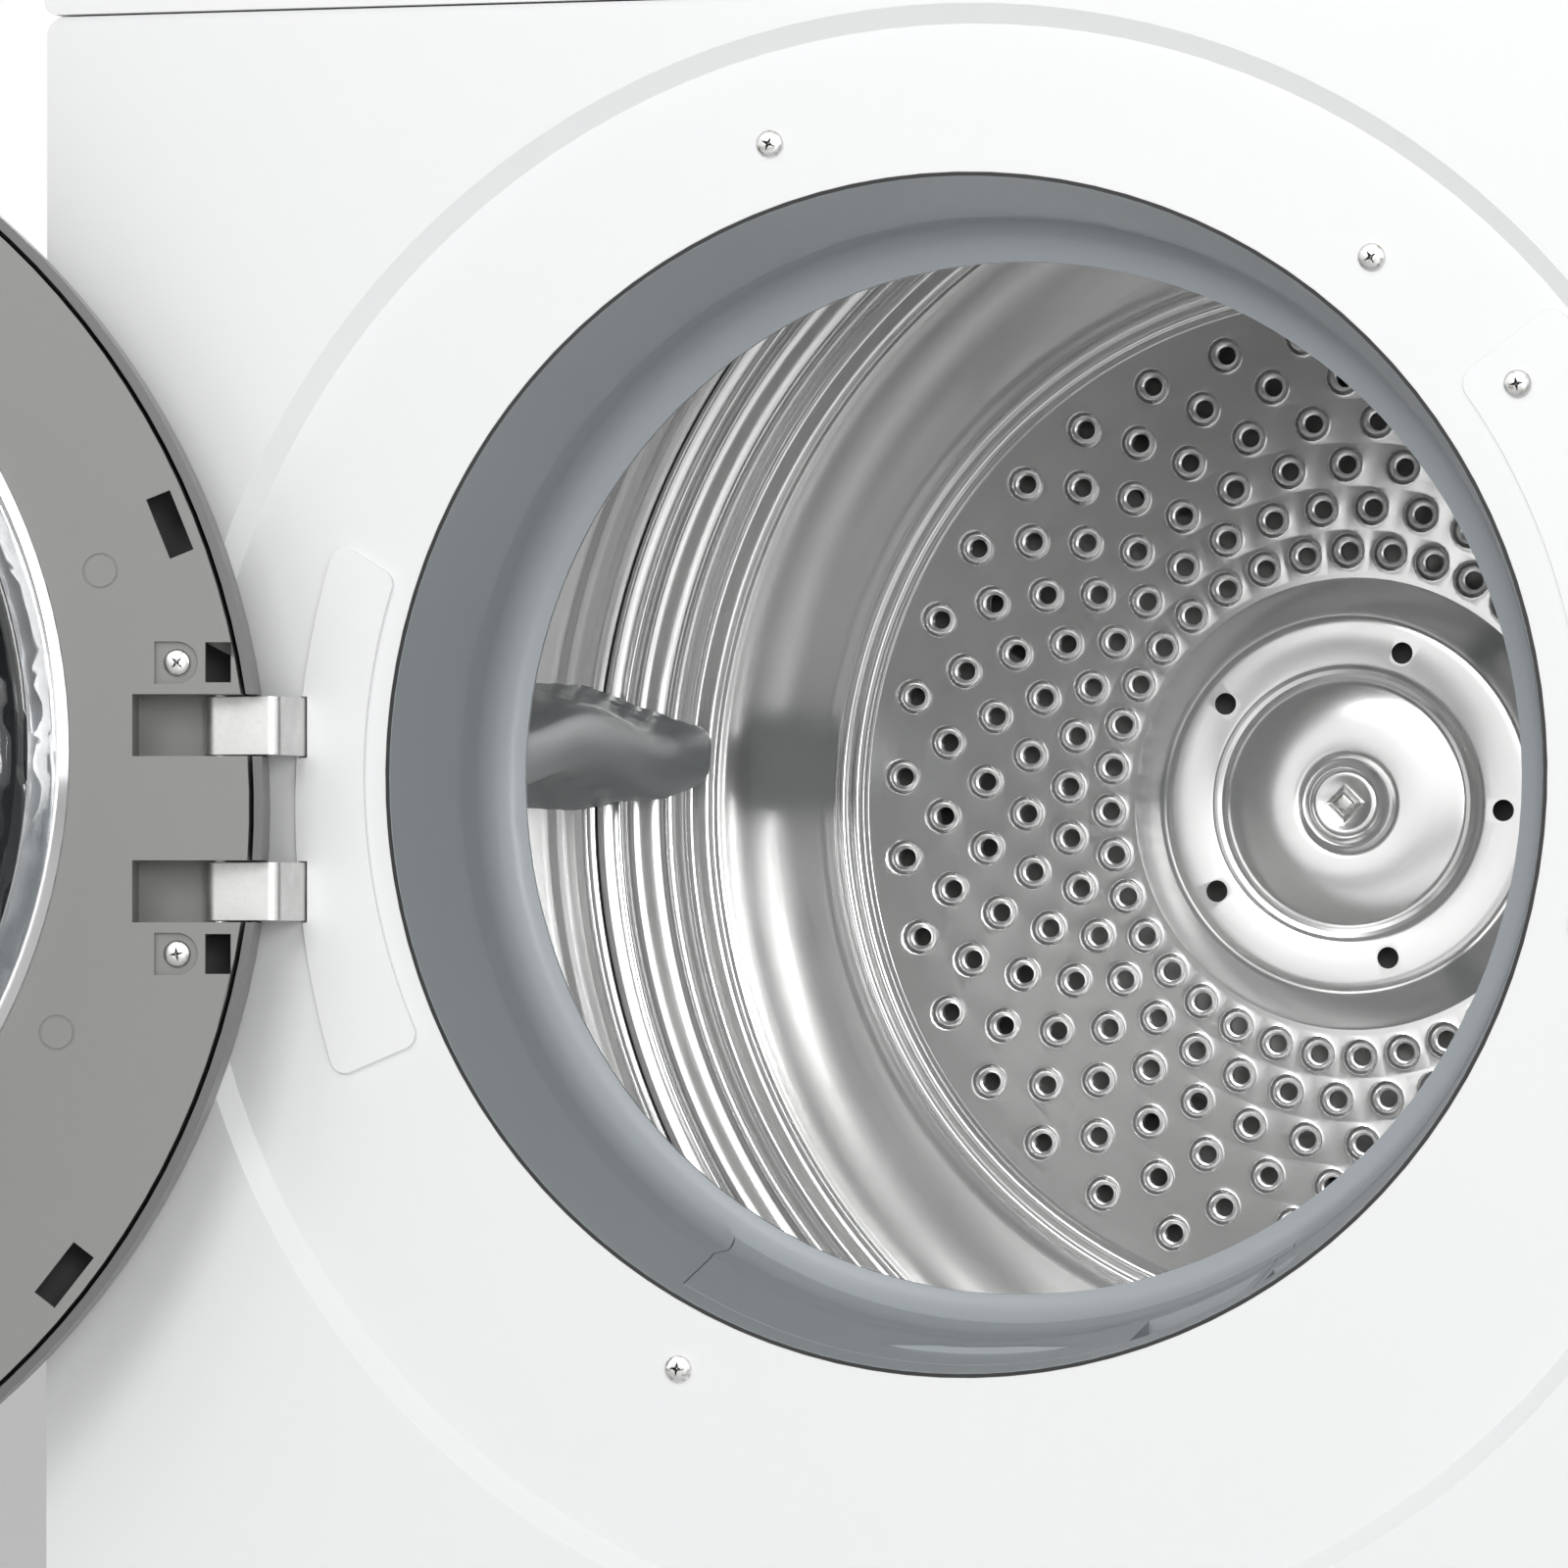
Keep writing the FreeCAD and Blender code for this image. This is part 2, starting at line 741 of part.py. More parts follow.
def felt_seals():
    """Felt rings that close the gap at both ends of the drum."""
    front = tube_y(0, drum_z, drum_lip_r + 1 + felt_width, drum_lip_r + 1,
                   behind(front_plate_y + sheet), behind(drum_front - felt_gap))
    slope = shoulder_depth / (drum_r - shoulder_r)
    inner = shoulder_r + 5
    face = shoulder_y - slope * (inner - shoulder_r) + 1.4 * drum_wall + felt_gap
    rear = tube_y(0, drum_z, inner + felt_width, inner, behind(face), behind(rear_plate_y))
    return Part.makeCompound([front, rear])


def front_bulkhead():
    """Steel wall behind the front panel, with the axles of the two rollers."""
    half = half_width - 14
    y0 = behind(front_plate_y)
    plate = box(-half, half, y0, y0 + sheet, plinth_top_z, panel_top_z - 6)
    plate = plate.cut(rod_y(0, opening_z, collar_waist_r + collar_wall + 2, y0 - 1, y0 + 3))
    folds = [box(side * half - sheet / 2, side * half + sheet / 2, y0 - 30, y0 + sheet,
                 plinth_top_z, panel_top_z - 6) for side in (-1, 1)]
    axles = [rod_y(x, z, roller_axle_r, y0 + sheet / 2, behind(drum_front + 8 + roller_width + 5))
             for x, z in roller_places()]
    return fuse([plate] + folds + axles)


def roller_places():
    reach = drum_outer_r + roller_gap + roller_r
    return [polar(reach, -90 + side * roller_angle, drum_z) for side in (-1, 1)]


def support_roller(x, z):
    y0 = behind(drum_front + 8)
    y1 = y0 + roller_width
    bore = roller_axle_r + running_gap
    return turned([
        (bore, y0 - 2), (roller_r - 14, y0 - 2), (roller_r - 12, y0), (roller_r, y0),
        (roller_r, y1), (roller_r - 12, y1), (roller_r - 14, y1 + 2), (bore, y1 + 2),
    ], z, x)


def rear_bulkhead():
    half = half_width - 6
    y0 = behind(rear_plate_y)
    plate = box(-half, half, y0, y0 + 2, foot_height + tray_height, worktop_z - 10)
    places = [polar(vent_ring_r, angle, drum_z) for angle in range(0, 360, 30)]
    vents = [rod_y(x, z, vent_r, y0 - 1, y0 + 3) for x, z in places]
    drain = rod_y(spigot_x, spigot_z, spigot_r + seam_gap, y0 - 1, y0 + 3)
    return plate.cut(vents + [drain, rod_y(0, drum_z, bearing_outer_r, y0 - 1, y0 + 3)])


def rear_bearing():
    y0 = behind(rear_plate_y) - 3
    return tube_y(0, drum_z, bearing_outer_r, shaft_r + running_gap, y0, y0 + bearing_length)


def rear_air_duct():
    """Shallow pan that carries air from the base up behind the drum."""
    y0 = behind(rear_plate_y) + 2
    y1 = y0 + duct_depth
    low = foot_height + tray_height + 10
    outer = duct_solid(0, y0, y1, low)
    return outer.cut(duct_solid(duct_wall, y0 - 1, y1 - duct_wall, low - 1))


def duct_solid(inset, y0, y1, low):
    half = duct_half_width - inset
    return fuse([rod_y(0, drum_z, duct_r - inset, y0, y1), box(-half, half, y0, y1, low, drum_z)])


# ---- drive ----

def loop(circles, extra):
    """Area inside a tight band round circles given anticlockwise as (x, z, radius)."""
    edges = []
    tangents = []
    for i, (x0, z0, r0) in enumerate(circles):
        x1, z1, r1 = circles[(i + 1) % len(circles)]
        r0 = r0 + extra
        r1 = r1 + extra
        span = math.hypot(x1 - x0, z1 - z0)
        normal = math.atan2(z1 - z0, x1 - x0) - math.acos((r0 - r1) / span)
        n = (math.cos(normal), math.sin(normal))
        tangents.append(((x0 + r0 * n[0], z0 + r0 * n[1]), (x1 + r1 * n[0], z1 + r1 * n[1]), normal))
    for i, (start, end, normal) in enumerate(tangents):
        x1, z1, r1 = circles[(i + 1) % len(circles)]
        leaving = tangents[(i + 1) % len(tangents)]
        turn = (leaving[2] - normal) % (2 * math.pi)
        middle = normal + turn / 2
        mid = (x1 + (r1 + extra) * math.cos(middle), z1 + (r1 + extra) * math.sin(middle))
        a, b, c, d = [Vector(p[0], 0, p[1]) for p in (start, end, mid, leaving[0])]
        edges.append(Part.makeLine(a, b))
        edges.append(Part.Arc(b, c, d).toShape())
    return Part.Face(Part.Wire(edges))


def drive_belt():
    circles = [(0, drum_z, drum_outer_r), (idler_x, idler_z, idler_r), (motor_x, motor_z, motor_pulley_r)]
    outer = loop(circles, belt_gap + belt_thickness)
    inner = loop(circles, belt_gap)
    band = outer.cut(inner).extrude(Vector(0, belt_width, 0))
    band.translate(Vector(0, behind(belt_y) - belt_width / 2, 0))
    return band.Solids[0]


def motor_stator():
    y0 = behind(belt_y) + motor_setback
    body = tube_y(motor_x, motor_z, motor_r, motor_shaft_r + running_gap, y0, y0 + motor_length)
    foot = box(motor_x - motor_foot_half, motor_x + motor_foot_half, y0 + 15, y0 + motor_length - 15,
               foot_height + tray_wall, motor_z - motor_foot_half)
    foot = foot.cut(rod_y(motor_x, motor_z, motor_r - 2, y0, y0 + motor_length))
    return body.fuse(foot).removeSplitter()


def motor_rotor():
    """Shaft with the small belt pulley on its front end."""
    y0 = behind(belt_y) - 8
    shaft = rod_y(motor_x, motor_z, motor_shaft_r, y0, fan_start() + fan_width + 4)
    pulley = rod_y(motor_x, motor_z, motor_pulley_r, y0 + 2, y0 + 14)
    return shaft.fuse(pulley).removeSplitter()


def fan_start():
    return behind(belt_y) + motor_setback + motor_length + fan_clearance


def fan_wheel():
    """Back plate, hub and a ring of straight blades."""
    y0 = fan_start()
    hub = tube_y(motor_x, motor_z, 16, motor_shaft_r, y0, y0 + fan_width)
    plate = tube_y(motor_x, motor_z, fan_r, motor_shaft_r, y0 + fan_width - 2, y0 + fan_width)
    blades = []
    for i in range(fan_blades):
        blade = box(motor_x + fan_blade_start, motor_x + fan_r - 0.5, y0, y0 + fan_width - 1,
                    motor_z - 0.8, motor_z + 0.8)
        blade.rotate(Vector(motor_x, 0, motor_z), Vector(0, 1, 0), i * 360.0 / fan_blades)
        blades.append(blade)
    return fuse([plate, hub] + blades)


def fan_housing():
    y0 = fan_start() - 4
    y1 = y0 + fan_width + 8
    outer = rod_y(motor_x, motor_z, fan_r + fan_gap + 3, y0, y1)
    outer = outer.fuse(box(motor_x - motor_foot_half, motor_x + motor_foot_half, y0, y1,
                           foot_height + tray_wall, motor_z - motor_r))
    shell = outer.cut(rod_y(motor_x, motor_z, fan_r + fan_gap, y0 + 2, y1 - 2))
    inlet = rod_y(motor_x, motor_z, fan_r - 16, y0 - 1, y0 + 3)
    rear = rod_y(motor_x, motor_z, motor_shaft_r + 2, y1 - 3, y1 + 1)
    return shell.cut([inlet, rear])


def idler_arm():
    """Tension lever with the idler's axle at its end."""
    y0 = behind(belt_y) + 8
    half = idler_arm_width / 2
    span = math.hypot(idler_x - idler_pivot_x, idler_z - idler_pivot_z)
    bar = box(0, span, y0, y0 + 3, -half, half)
    lean = math.degrees(math.atan2(idler_z - idler_pivot_z, idler_x - idler_pivot_x))
    bar.rotate(Vector(0, 0, 0), Vector(0, 1, 0), -lean)
    bar.translate(Vector(idler_pivot_x, 0, idler_pivot_z))
    ends = [rod_y(idler_pivot_x, idler_pivot_z, half, y0, y0 + 3), rod_y(idler_x, idler_z, half, y0, y0 + 3)]
    axle = rod_y(idler_x, idler_z, idler_axle_r, behind(belt_y) - 8, y0 + 2)
    arm = fuse([bar, axle] + ends)
    return arm.cut(rod_y(idler_pivot_x, idler_pivot_z, idler_pivot_r + running_gap, y0 - 1, y0 + 4))


def idler_pulley():
    half = idler_width / 2
    middle = behind(belt_y)
    return tube_y(idler_x, idler_z, idler_r, idler_axle_r + running_gap, middle - half, middle + half)


# ---- heat pump, drain and supply ----

def compressor():
    can = rod_z(compressor_x, behind(compressor_y), compressor_r, foot_height + tray_wall, compressor_top)
    rim = [e for e in can.Edges if e.BoundBox.ZMin > compressor_top - 1]
    return can.makeFillet(compressor_r / 4, rim)


def heat_exchangers():
    """Evaporator in front and condenser behind it, each a stack of fins on pipes."""
    stacks = ((evaporator_start, evaporator_end), (condenser_start, condenser_end))
    return Part.makeCompound([fin_stack(start, end) for start, end in stacks])


def fin_stack(start, end):
    low = foot_height + tray_wall + 2
    count = int((end - start) / fin_pitch)
    fins = []
    for i in range(count + 1):
        y0 = behind(start + i * fin_pitch)
        fins.append(box(exchanger_left, exchanger_right, y0, y0 + fin_thickness, low, exchanger_top))
    return fuse(fins + exchanger_pipes(start, start + count * fin_pitch, low))


def exchanger_pipes(start, end, low):
    """Straight pipes that carry the fins, in five columns of three."""
    pipes = []
    for i in range(5):
        x = exchanger_left + (i + 0.5) * (exchanger_right - exchanger_left) / 5
        for k in range(3):
            z = low + (k + 0.5) * (exchanger_top - low) / 3
            pipes.append(rod_y(x, z, pipe_r, behind(start), behind(end)))
    return pipes


def pipe(points, radius):
    """Bent tube drawn as straight runs with ball corners."""
    runs = []
    for start, end in zip(points, points[1:]):
        line = end.sub(start)
        runs.append(Part.makeCylinder(radius, line.Length, start, line))
        runs.append(Part.makeSphere(radius, end))
    return fuse(runs)


def refrigerant_pipes():
    """Suction pipe from the condenser and delivery pipe to the evaporator."""
    y = behind(compressor_y)
    front = y - compressor_r - 2 * pipe_r
    back = behind(condenser_end) + fin_thickness + pipe_r + seam_gap
    low = compressor_top / 2
    suction = pipe([Vector(compressor_x, front, low + 30), Vector(compressor_x, front - 25, low + 30),
                    Vector(compressor_x, front - 25, low), Vector(compressor_x, back, low)], pipe_r)
    high = compressor_top + 3 * pipe_r
    left = exchanger_left - 5
    gap = behind((evaporator_end + condenser_start) / 2)
    delivery = pipe([Vector(compressor_x - 50, y + 20, high), Vector(left, y + 20, high),
                     Vector(left, gap, high), Vector(compressor_x - 10, gap, high)], pipe_r)
    return Part.makeCompound([suction, delivery])


def condensate_pump():
    """Pump with its outlet pipe and the hose spigot behind the cabinet."""
    y0 = rear_y - pump_back - pump_length
    body = box(pump_left, pump_right, y0, rear_y - pump_back, foot_height + tray_wall, pump_top)
    x = (pump_left + pump_right) / 2
    y = y0 + pump_length / 2
    outlet = pipe([Vector(x, y, pump_top - 5), Vector(x, y, spigot_z), Vector(spigot_x, y, spigot_z),
                   Vector(spigot_x, rear_y + 2, spigot_z)], spigot_r - 1)
    spigot = rod_y(spigot_x, spigot_z, spigot_r, rear_y + 1, rear_y + 1 + spigot_length)
    return fuse([body, outlet, spigot])


def mains_gland():
    """Socket block in the rear panel where the supply lead would enter."""
    block = box(gland_x - gland_half, gland_x + gland_half, rear_y, rear_y + gland_depth,
                gland_z - gland_half, gland_z + gland_half)
    return block.cut(rod_y(gland_x, gland_z, gland_bore_r, rear_y - 1, rear_y + gland_depth + 1))


# ---- controls, drawer, filter and flap ----

def programme_knob():
    y0 = front_y - fascia_proud
    front = y0 - seam_gap - knob_height
    cap = rod_y(knob_x, controls_z(), knob_r, front, y0 - seam_gap)
    cap = cap.makeFillet(3.0, [e for e in cap.Edges if e.BoundBox.YMax < front + 1])
    return cap.fuse(rod_y(knob_x, controls_z(), knob_shaft_r, y0 - 1, y0 + 12)).removeSplitter()


def push_button(x, radius):
    y0 = front_y - fascia_proud - 2
    cap = rod_y(x, controls_z(), radius, y0, y0 + 8)
    return cap.makeFillet(0.8, [e for e in cap.Edges if e.BoundBox.YMax < y0 + 1])


def drawer_box():
    """Outer limits of the water container behind its front."""
    left = drawer_left + 5
    right = drawer_left + drawer_width - 5
    low = controls_z() - drawer_height / 2 + 8
    return left, right, low, low + drawer_height


def condensate_container():
    left, right, low, high = drawer_box()
    y0 = front_y - fascia_proud
    wall = drawer_wall
    tray = box(left, right, y0 + 3, y0 + drawer_length, low, high)
    tray = tray.cut(box(left + wall, right - wall, y0 + 6, y0 + drawer_length - wall, low + wall, high + 1))
    low_edge = drawer_z()
    front = box(drawer_left, drawer_left + drawer_width, y0, y0 + 4, low_edge, low_edge + drawer_front_height)
    grip = rod_y(drawer_left + drawer_width / 2, low_edge - drawer_grip_drop, drawer_grip_r, y0 - 1, y0 + 2.5)
    return tray.fuse(front).removeSplitter().cut(grip)


def drawer_housing():
    left, right, low, high = drawer_box()
    y0 = front_y + fascia_depth
    y1 = front_y - fascia_proud + drawer_length + 6
    gap = drawer_gap
    shell = box(left - 3, right + 3, y0, y1, low - 3, high + 3)
    return shell.cut(box(left - gap, right + gap, y0 - 1, y1 - 2, low - gap, high + gap))


def lint_filter():
    """Filter cassette whose lid carries on the shape of the throat."""
    lid = turned(collar_profile(), opening_z).common(lid_block(filter_gap))
    y0 = behind(filter_front)
    top = opening_z - collar_waist_r - 1
    cassette = box(-filter_half_width, filter_half_width, y0, y0 + filter_thickness, top - filter_depth, top)
    under_lid = rod_y(0, opening_z, collar_waist_r + 1.5, y0 - 2, y0 + filter_thickness + 2)
    cassette = cassette.cut(under_lid)
    pocket = grip_block(filter_grip_wall).cut(mouth_space())
    lid = fuse([lid, cassette, pocket])
    return lid.cut(grip_block(0))


def mouth_space():
    """The space inside the throat from its mouth to its waist."""
    return turned([(0, behind(0.3)), (collar_mouth_r, behind(0.3)), (collar_waist_r, behind(collar_waist_y)),
                   (0, behind(collar_waist_y))], opening_z)


def grip_block(wall):
    """Finger pocket in the filter's lid."""
    return box(filter_grip_left - wall, filter_grip_right + wall, behind(filter_grip_start - wall),
               behind(filter_grip_end + wall), opening_z - filter_grip_floor - wall, opening_z - 100)


def filter_housing():
    y0 = behind(filter_front - 5)
    y1 = behind(filter_front + filter_thickness + 5)
    half = filter_half_width + 5
    top = opening_z - opening_r - 6
    low = opening_z - collar_waist_r - filter_depth - 8
    shell = box(-half, half, y0, y1, low, top)
    shell = shell.cut(box(-half + 2.5, half - 2.5, y0 + 2.5, y1 - 2.5, low - 1, top + 1))
    tabs = [box(x - 10, x + 10, y1, behind(front_plate_y), low + 30, low + 33) for x in (-60, 60)]
    return fuse([shell] + tabs)


def service_flap():
    z0 = flap_z()
    plate = box(flap_left, flap_left + flap_width, front_y, front_y + 3, z0, z0 + flap_height)
    return round_edges(plate, Vector(0, 1, 0), 3.0)


# ---- hinge and door, drawn shut and then swung open ----

def hinge_bracket():
    """Mounting plate behind the panel with two arms that end in eyes round the pins."""
    y0 = opening_y + sheet
    right = pin_x + arm_reach
    plate = box(right - bracket_width, right, y0, y0 + 2, hinge_z - bracket_half, hinge_z + bracket_half)
    front = pin_y - eye_r
    arms = []
    for z in arm_levels():
        low = z - arm_height / 2
        high = z + arm_height / 2
        outline = [
            (pin_x, front), (right, front), (right, y0 + 1), (right - arm_thickness, y0 + 1),
            (right - arm_thickness, front + arm_thickness), (pin_x, front + arm_thickness),
        ]
        strap = plan(outline, low, high)
        corner = [e for e in strap.Edges if along(e, Vector(0, 0, 1))
                  and abs(e.BoundBox.XMin - right) < 0.01 and abs(e.BoundBox.YMin - front) < 0.01]
        strap = strap.makeFillet(arm_thickness + 1.5, corner)
        arms.append(strap)
        arms.append(rod_z(pin_x, pin_y, eye_r, low, high))
    bracket = fuse([plate] + arms)
    return bracket.cut([rod_z(pin_x, pin_y, pin_r + running_gap, z - 10, z + 10) for z in arm_levels()])


def hinge_slots():
    """Pockets that the arms swing through, open to the face and to the edge."""
    right = pin_x + arm_reach + slot_end_gap
    return [box(-door_r - 2, right, pin_y - eye_r - 1, behind(door_face) + 1,
                z - slot_height / 2, z + slot_height / 2) for z in arm_levels()]


def hinge_pins():
    return Part.makeCompound([opened(rod_z(pin_x, pin_y, pin_r, z - slot_height / 2, z + slot_height / 2))
                              for z in arm_levels()])


def door_screw_places():
    return [polar(door_screw_r, a, hinge_z) for a in door_screw_angles]


def door_inner_frame():
    face = behind(door_face)
    back = face - door_frame_wall
    plate = rod_y(0, hinge_z, door_frame_r, back, face)
    skirt = tube_y(0, hinge_z, door_frame_r, door_frame_r - door_frame_wall, face - door_rim + 4, back)
    block = box(-door_r, pin_x + arm_reach + slot_end_gap + 4, pin_y - eye_r - 3, back,
                hinge_z - 40, hinge_z + 40)
    block = block.common(rod_y(0, hinge_z, door_frame_r, face - 40, face))
    frame = fuse([plate, skirt, block])
    cuts = hinge_slots() + [rod_y(0, bowl_z, trim_outer_r, back - 40, face + 1)]
    cuts += [rod_y(x, z, screw_shank_r + 0.2, face - 40, face + 1) for x, z in door_screw_places()]
    cuts += screw_recesses() + key_holes() + clip_slots() + pips()
    return opened(frame.cut(cuts))


def screw_recesses():
    """Shallow D-shaped seats for the door screws, flat on the side away from the hinge."""
    face = behind(door_face)
    seat = face - screw_recess_depth
    cuts = []
    reach = screw_recess_r
    for x, z in door_screw_places():
        cuts.append(rod_y(x, z, reach, seat, face + 1))
        if x < 0:
            cuts.append(box(x, x + reach + 0.4, seat, face + 1, z - reach, z + reach))
    return cuts


def key_holes():
    """Rectangular holes beside the two hinge-side screws."""
    half_width_x = key_hole_width / 2
    half_height = key_hole_height / 2
    face = behind(door_face)
    return [box(key_hole_x - half_width_x, key_hole_x + half_width_x, face - door_rim, face + 1,
                hinge_z + side * key_hole_rise - half_height, hinge_z + side * key_hole_rise + half_height)
            for side in (-1, 1)]


def clip_slots():
    """Slots for the clips of the outer casing, tangent to the rim."""
    face = behind(door_face)
    cuts = []
    half = clip_slot_width / 2
    for angle in clip_slot_angles:
        slot = box(clip_slot_r - half, clip_slot_r + half, face - door_frame_wall - 1, face + 1,
                   -clip_slot_length / 2, clip_slot_length / 2)
        slot.rotate(Vector(0, 0, 0), Vector(0, 1, 0), -angle)
        slot.translate(Vector(0, 0, hinge_z))
        cuts.append(slot)
    return cuts


def pips():
    """Round ejector marks."""
    face = behind(door_face)
    inner = pip_r - 0.7
    return [tube_y(x, hinge_z + rise, pip_r, inner, face - pip_depth, face + 1) for x, rise in pip_places]


def door_outer_ring():
    """Outer casing of the door, thinner at its edge so that it clears the cabinet."""
    face = behind(door_face)
    wall = door_ring_wall
    ring = turned([
        (door_r, face - 1.5), (door_r, face - door_rim), (door_r - 15, face - 34), (door_r - 31, face - 38),
        (window_r, face - door_thickness), (window_r, face - door_thickness + wall),
        (door_r - 32, face - 38 + wall), (door_r - 16.5, face - 34 + wall),
        (door_r - wall, face - door_rim + wall - 1),
        (door_r - wall, face - 1.5),
    ], hinge_z)
    bosses = [rod_y(x, z, 4.5, face - 34, face - door_frame_wall) for x, z in door_screw_places()]
    ring = fuse([ring] + bosses)
    cuts = [rod_y(x, z, screw_shank_r, face - 25, face + 1) for x, z in door_screw_places()]
    return opened(ring.cut(hinge_slots() + cuts))


def door_window():
    face = behind(door_face)
    return opened(rod_y(0, hinge_z, window_r, face - door_thickness, face - door_thickness + door_ring_wall))


def door_trim_ring():
    face = behind(door_face)
    return opened(turned([
        (trim_outer_r, face - 3), (trim_outer_r, face + 1), (trim_outer_r - 3, face + 3.2),
        (trim_outer_r - 6, face + 2.6), (trim_inner_r + 3, face - 0.5), (trim_inner_r, face - 1),
        (trim_inner_r, face - 3),
    ], bowl_z))


def door_glass_bowl():
    """Thick glass bowl that fills the throat when the door is shut."""
    back = behind(door_face) - 3
    wall = bowl_wall
    outer = [(trim_inner_r - 3, behind(-4))] + [(opening_r - inset, behind(y)) for inset, y in bowl_shape]
    outer.append((0, behind(bowl_depth)))
    inner = [(0, behind(bowl_depth) - wall)]
    for (inset, y), (slant, lift) in zip(reversed(bowl_shape), bowl_walls):
        inner.append((opening_r - inset - slant * wall, behind(y) - lift * wall))
    inner.append((opening_r - bowl_shape[0][0] - wall, back - wall))
    flange = [(trim_outer_r - 2, back - wall), (trim_outer_r - 2, back), (trim_inner_r, back),
              (trim_inner_r - 3, behind(-4))]
    return opened(turned(outer + inner + flange[:-1], bowl_z))


def door_screws():
    seat = behind(door_face) - screw_recess_depth
    screws = []
    for x, z in door_screw_places():
        head = turned([(0, seat + 2.1), (2.4, seat + 1.9), (screw_head_r, seat + 0.9), (screw_head_r, seat),
                       (0, seat)], z, x)
        screws.append(opened(head.fuse(rod_y(x, z, screw_shank_r, seat - 13, seat)).removeSplitter()))
    return Part.makeCompound(screws)


def latch_hook():
    face = behind(door_face)
    stem = box(hook_x - 3, hook_x + 2, face, face + hook_length, hinge_z - 8, hinge_z + 8)
    nose = box(hook_x - 3, hook_x + 5, face + hook_length - 6, face + hook_length, hinge_z - 8, hinge_z + 8)
    hook = fuse([stem, nose])
    return opened(round_edges(hook, Vector(0, 0, 1), 1.0))


def main():
    os.makedirs("parts", exist_ok=True)
    save("left_side_panel", side_panel(-1))
    save("right_side_panel", side_panel(1))
    for name, maker in MAKERS.items():
        save(name, maker())
    save("power_button", push_button(power_x, power_r))
    save("start_button", push_button(start_x, start_r))
    for name, (x, z) in zip(("support_roller_left", "support_roller_right"), roller_places()):
        save(name, support_roller(x, z))
    feet = ("foot_front_left", "foot_front_right", "foot_rear_left", "foot_rear_right")
    for name, (x, y) in zip(feet, foot_places()):
        save(name, levelling_foot(x, y))


MAKERS = {
    "rear_panel": rear_panel,
    "worktop": worktop,
    "front_panel": front_panel,
    "panel_screws": panel_screws,
    "hinge_cover_plate": hinge_cover_plate,
    "latch_cover_plate": latch_cover_plate,
    "door_catch": door_catch,
    "door_collar": door_collar,
    "opening_gasket": opening_gasket,
    "control_fascia": control_fascia,
    "display_window": display_window,
    "control_board": control_board,
    "plinth_panel": plinth_panel,
    "base_tray": base_tray,
    "drum_shell": drum_shell,
    "drum_back": drum_back,
    "drum_hub": drum_hub,
    "drum_lifters": drum_lifters,
    "felt_seals": felt_seals,
    "front_bulkhead": front_bulkhead,
    "rear_bulkhead": rear_bulkhead,
    "rear_bearing": rear_bearing,
    "rear_air_duct": rear_air_duct,
    "drive_belt": drive_belt,
    "motor_stator": motor_stator,
    "motor_rotor": motor_rotor,
    "fan_wheel": fan_wheel,
    "fan_housing": fan_housing,
    "idler_arm": idler_arm,
    "idler_pulley": idler_pulley,
    "compressor": compressor,
    "heat_exchangers": heat_exchangers,
    "refrigerant_pipes": refrigerant_pipes,
    "condensate_pump": condensate_pump,
    "mains_gland": mains_gland,
    "programme_knob": programme_knob,
    "condensate_container": condensate_container,
    "drawer_housing": drawer_housing,
    "lint_filter": lint_filter,
    "filter_housing": filter_housing,
    "service_flap": service_flap,
    "hinge_bracket": hinge_bracket,
    "hinge_pins": hinge_pins,
    "door_inner_frame": door_inner_frame,
    "door_outer_ring": door_outer_ring,
    "door_window": door_window,
    "door_trim_ring": door_trim_ring,
    "door_glass_bowl": door_glass_bowl,
    "door_screws": door_screws,
    "latch_hook": latch_hook,
}

main()
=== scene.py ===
import json
import math

import bpy
from mathutils import Matrix, Vector

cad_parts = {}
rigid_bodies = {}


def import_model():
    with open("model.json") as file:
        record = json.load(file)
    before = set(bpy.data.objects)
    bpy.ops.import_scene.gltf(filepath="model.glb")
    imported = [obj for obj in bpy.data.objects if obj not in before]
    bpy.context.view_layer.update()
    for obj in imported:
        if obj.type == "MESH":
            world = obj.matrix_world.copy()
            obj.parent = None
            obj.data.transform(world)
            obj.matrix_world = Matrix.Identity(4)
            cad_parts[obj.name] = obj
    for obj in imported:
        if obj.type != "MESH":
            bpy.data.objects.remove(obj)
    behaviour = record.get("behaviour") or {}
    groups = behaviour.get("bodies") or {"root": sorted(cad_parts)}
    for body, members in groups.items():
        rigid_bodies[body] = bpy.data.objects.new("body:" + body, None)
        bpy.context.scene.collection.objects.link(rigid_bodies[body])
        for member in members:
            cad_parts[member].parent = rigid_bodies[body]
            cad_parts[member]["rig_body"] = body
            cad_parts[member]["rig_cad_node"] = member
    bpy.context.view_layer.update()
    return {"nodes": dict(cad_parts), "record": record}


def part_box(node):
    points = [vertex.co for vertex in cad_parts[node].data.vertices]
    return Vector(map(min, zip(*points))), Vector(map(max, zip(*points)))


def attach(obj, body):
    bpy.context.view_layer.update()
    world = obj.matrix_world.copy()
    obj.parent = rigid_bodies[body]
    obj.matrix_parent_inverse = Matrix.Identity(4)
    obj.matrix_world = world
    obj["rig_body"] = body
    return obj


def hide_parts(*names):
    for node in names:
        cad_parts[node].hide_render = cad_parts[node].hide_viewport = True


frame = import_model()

bl_info = {
    "name": "Tumble Dryer",
    "version": (1, 0, 0),
    "blender": (4, 5, 0),
    "location": "3D View > Sidebar > Dryer",
    "description": "Finishes and pressed details for a front-loading tumble dryer",
    "category": "Object",
}

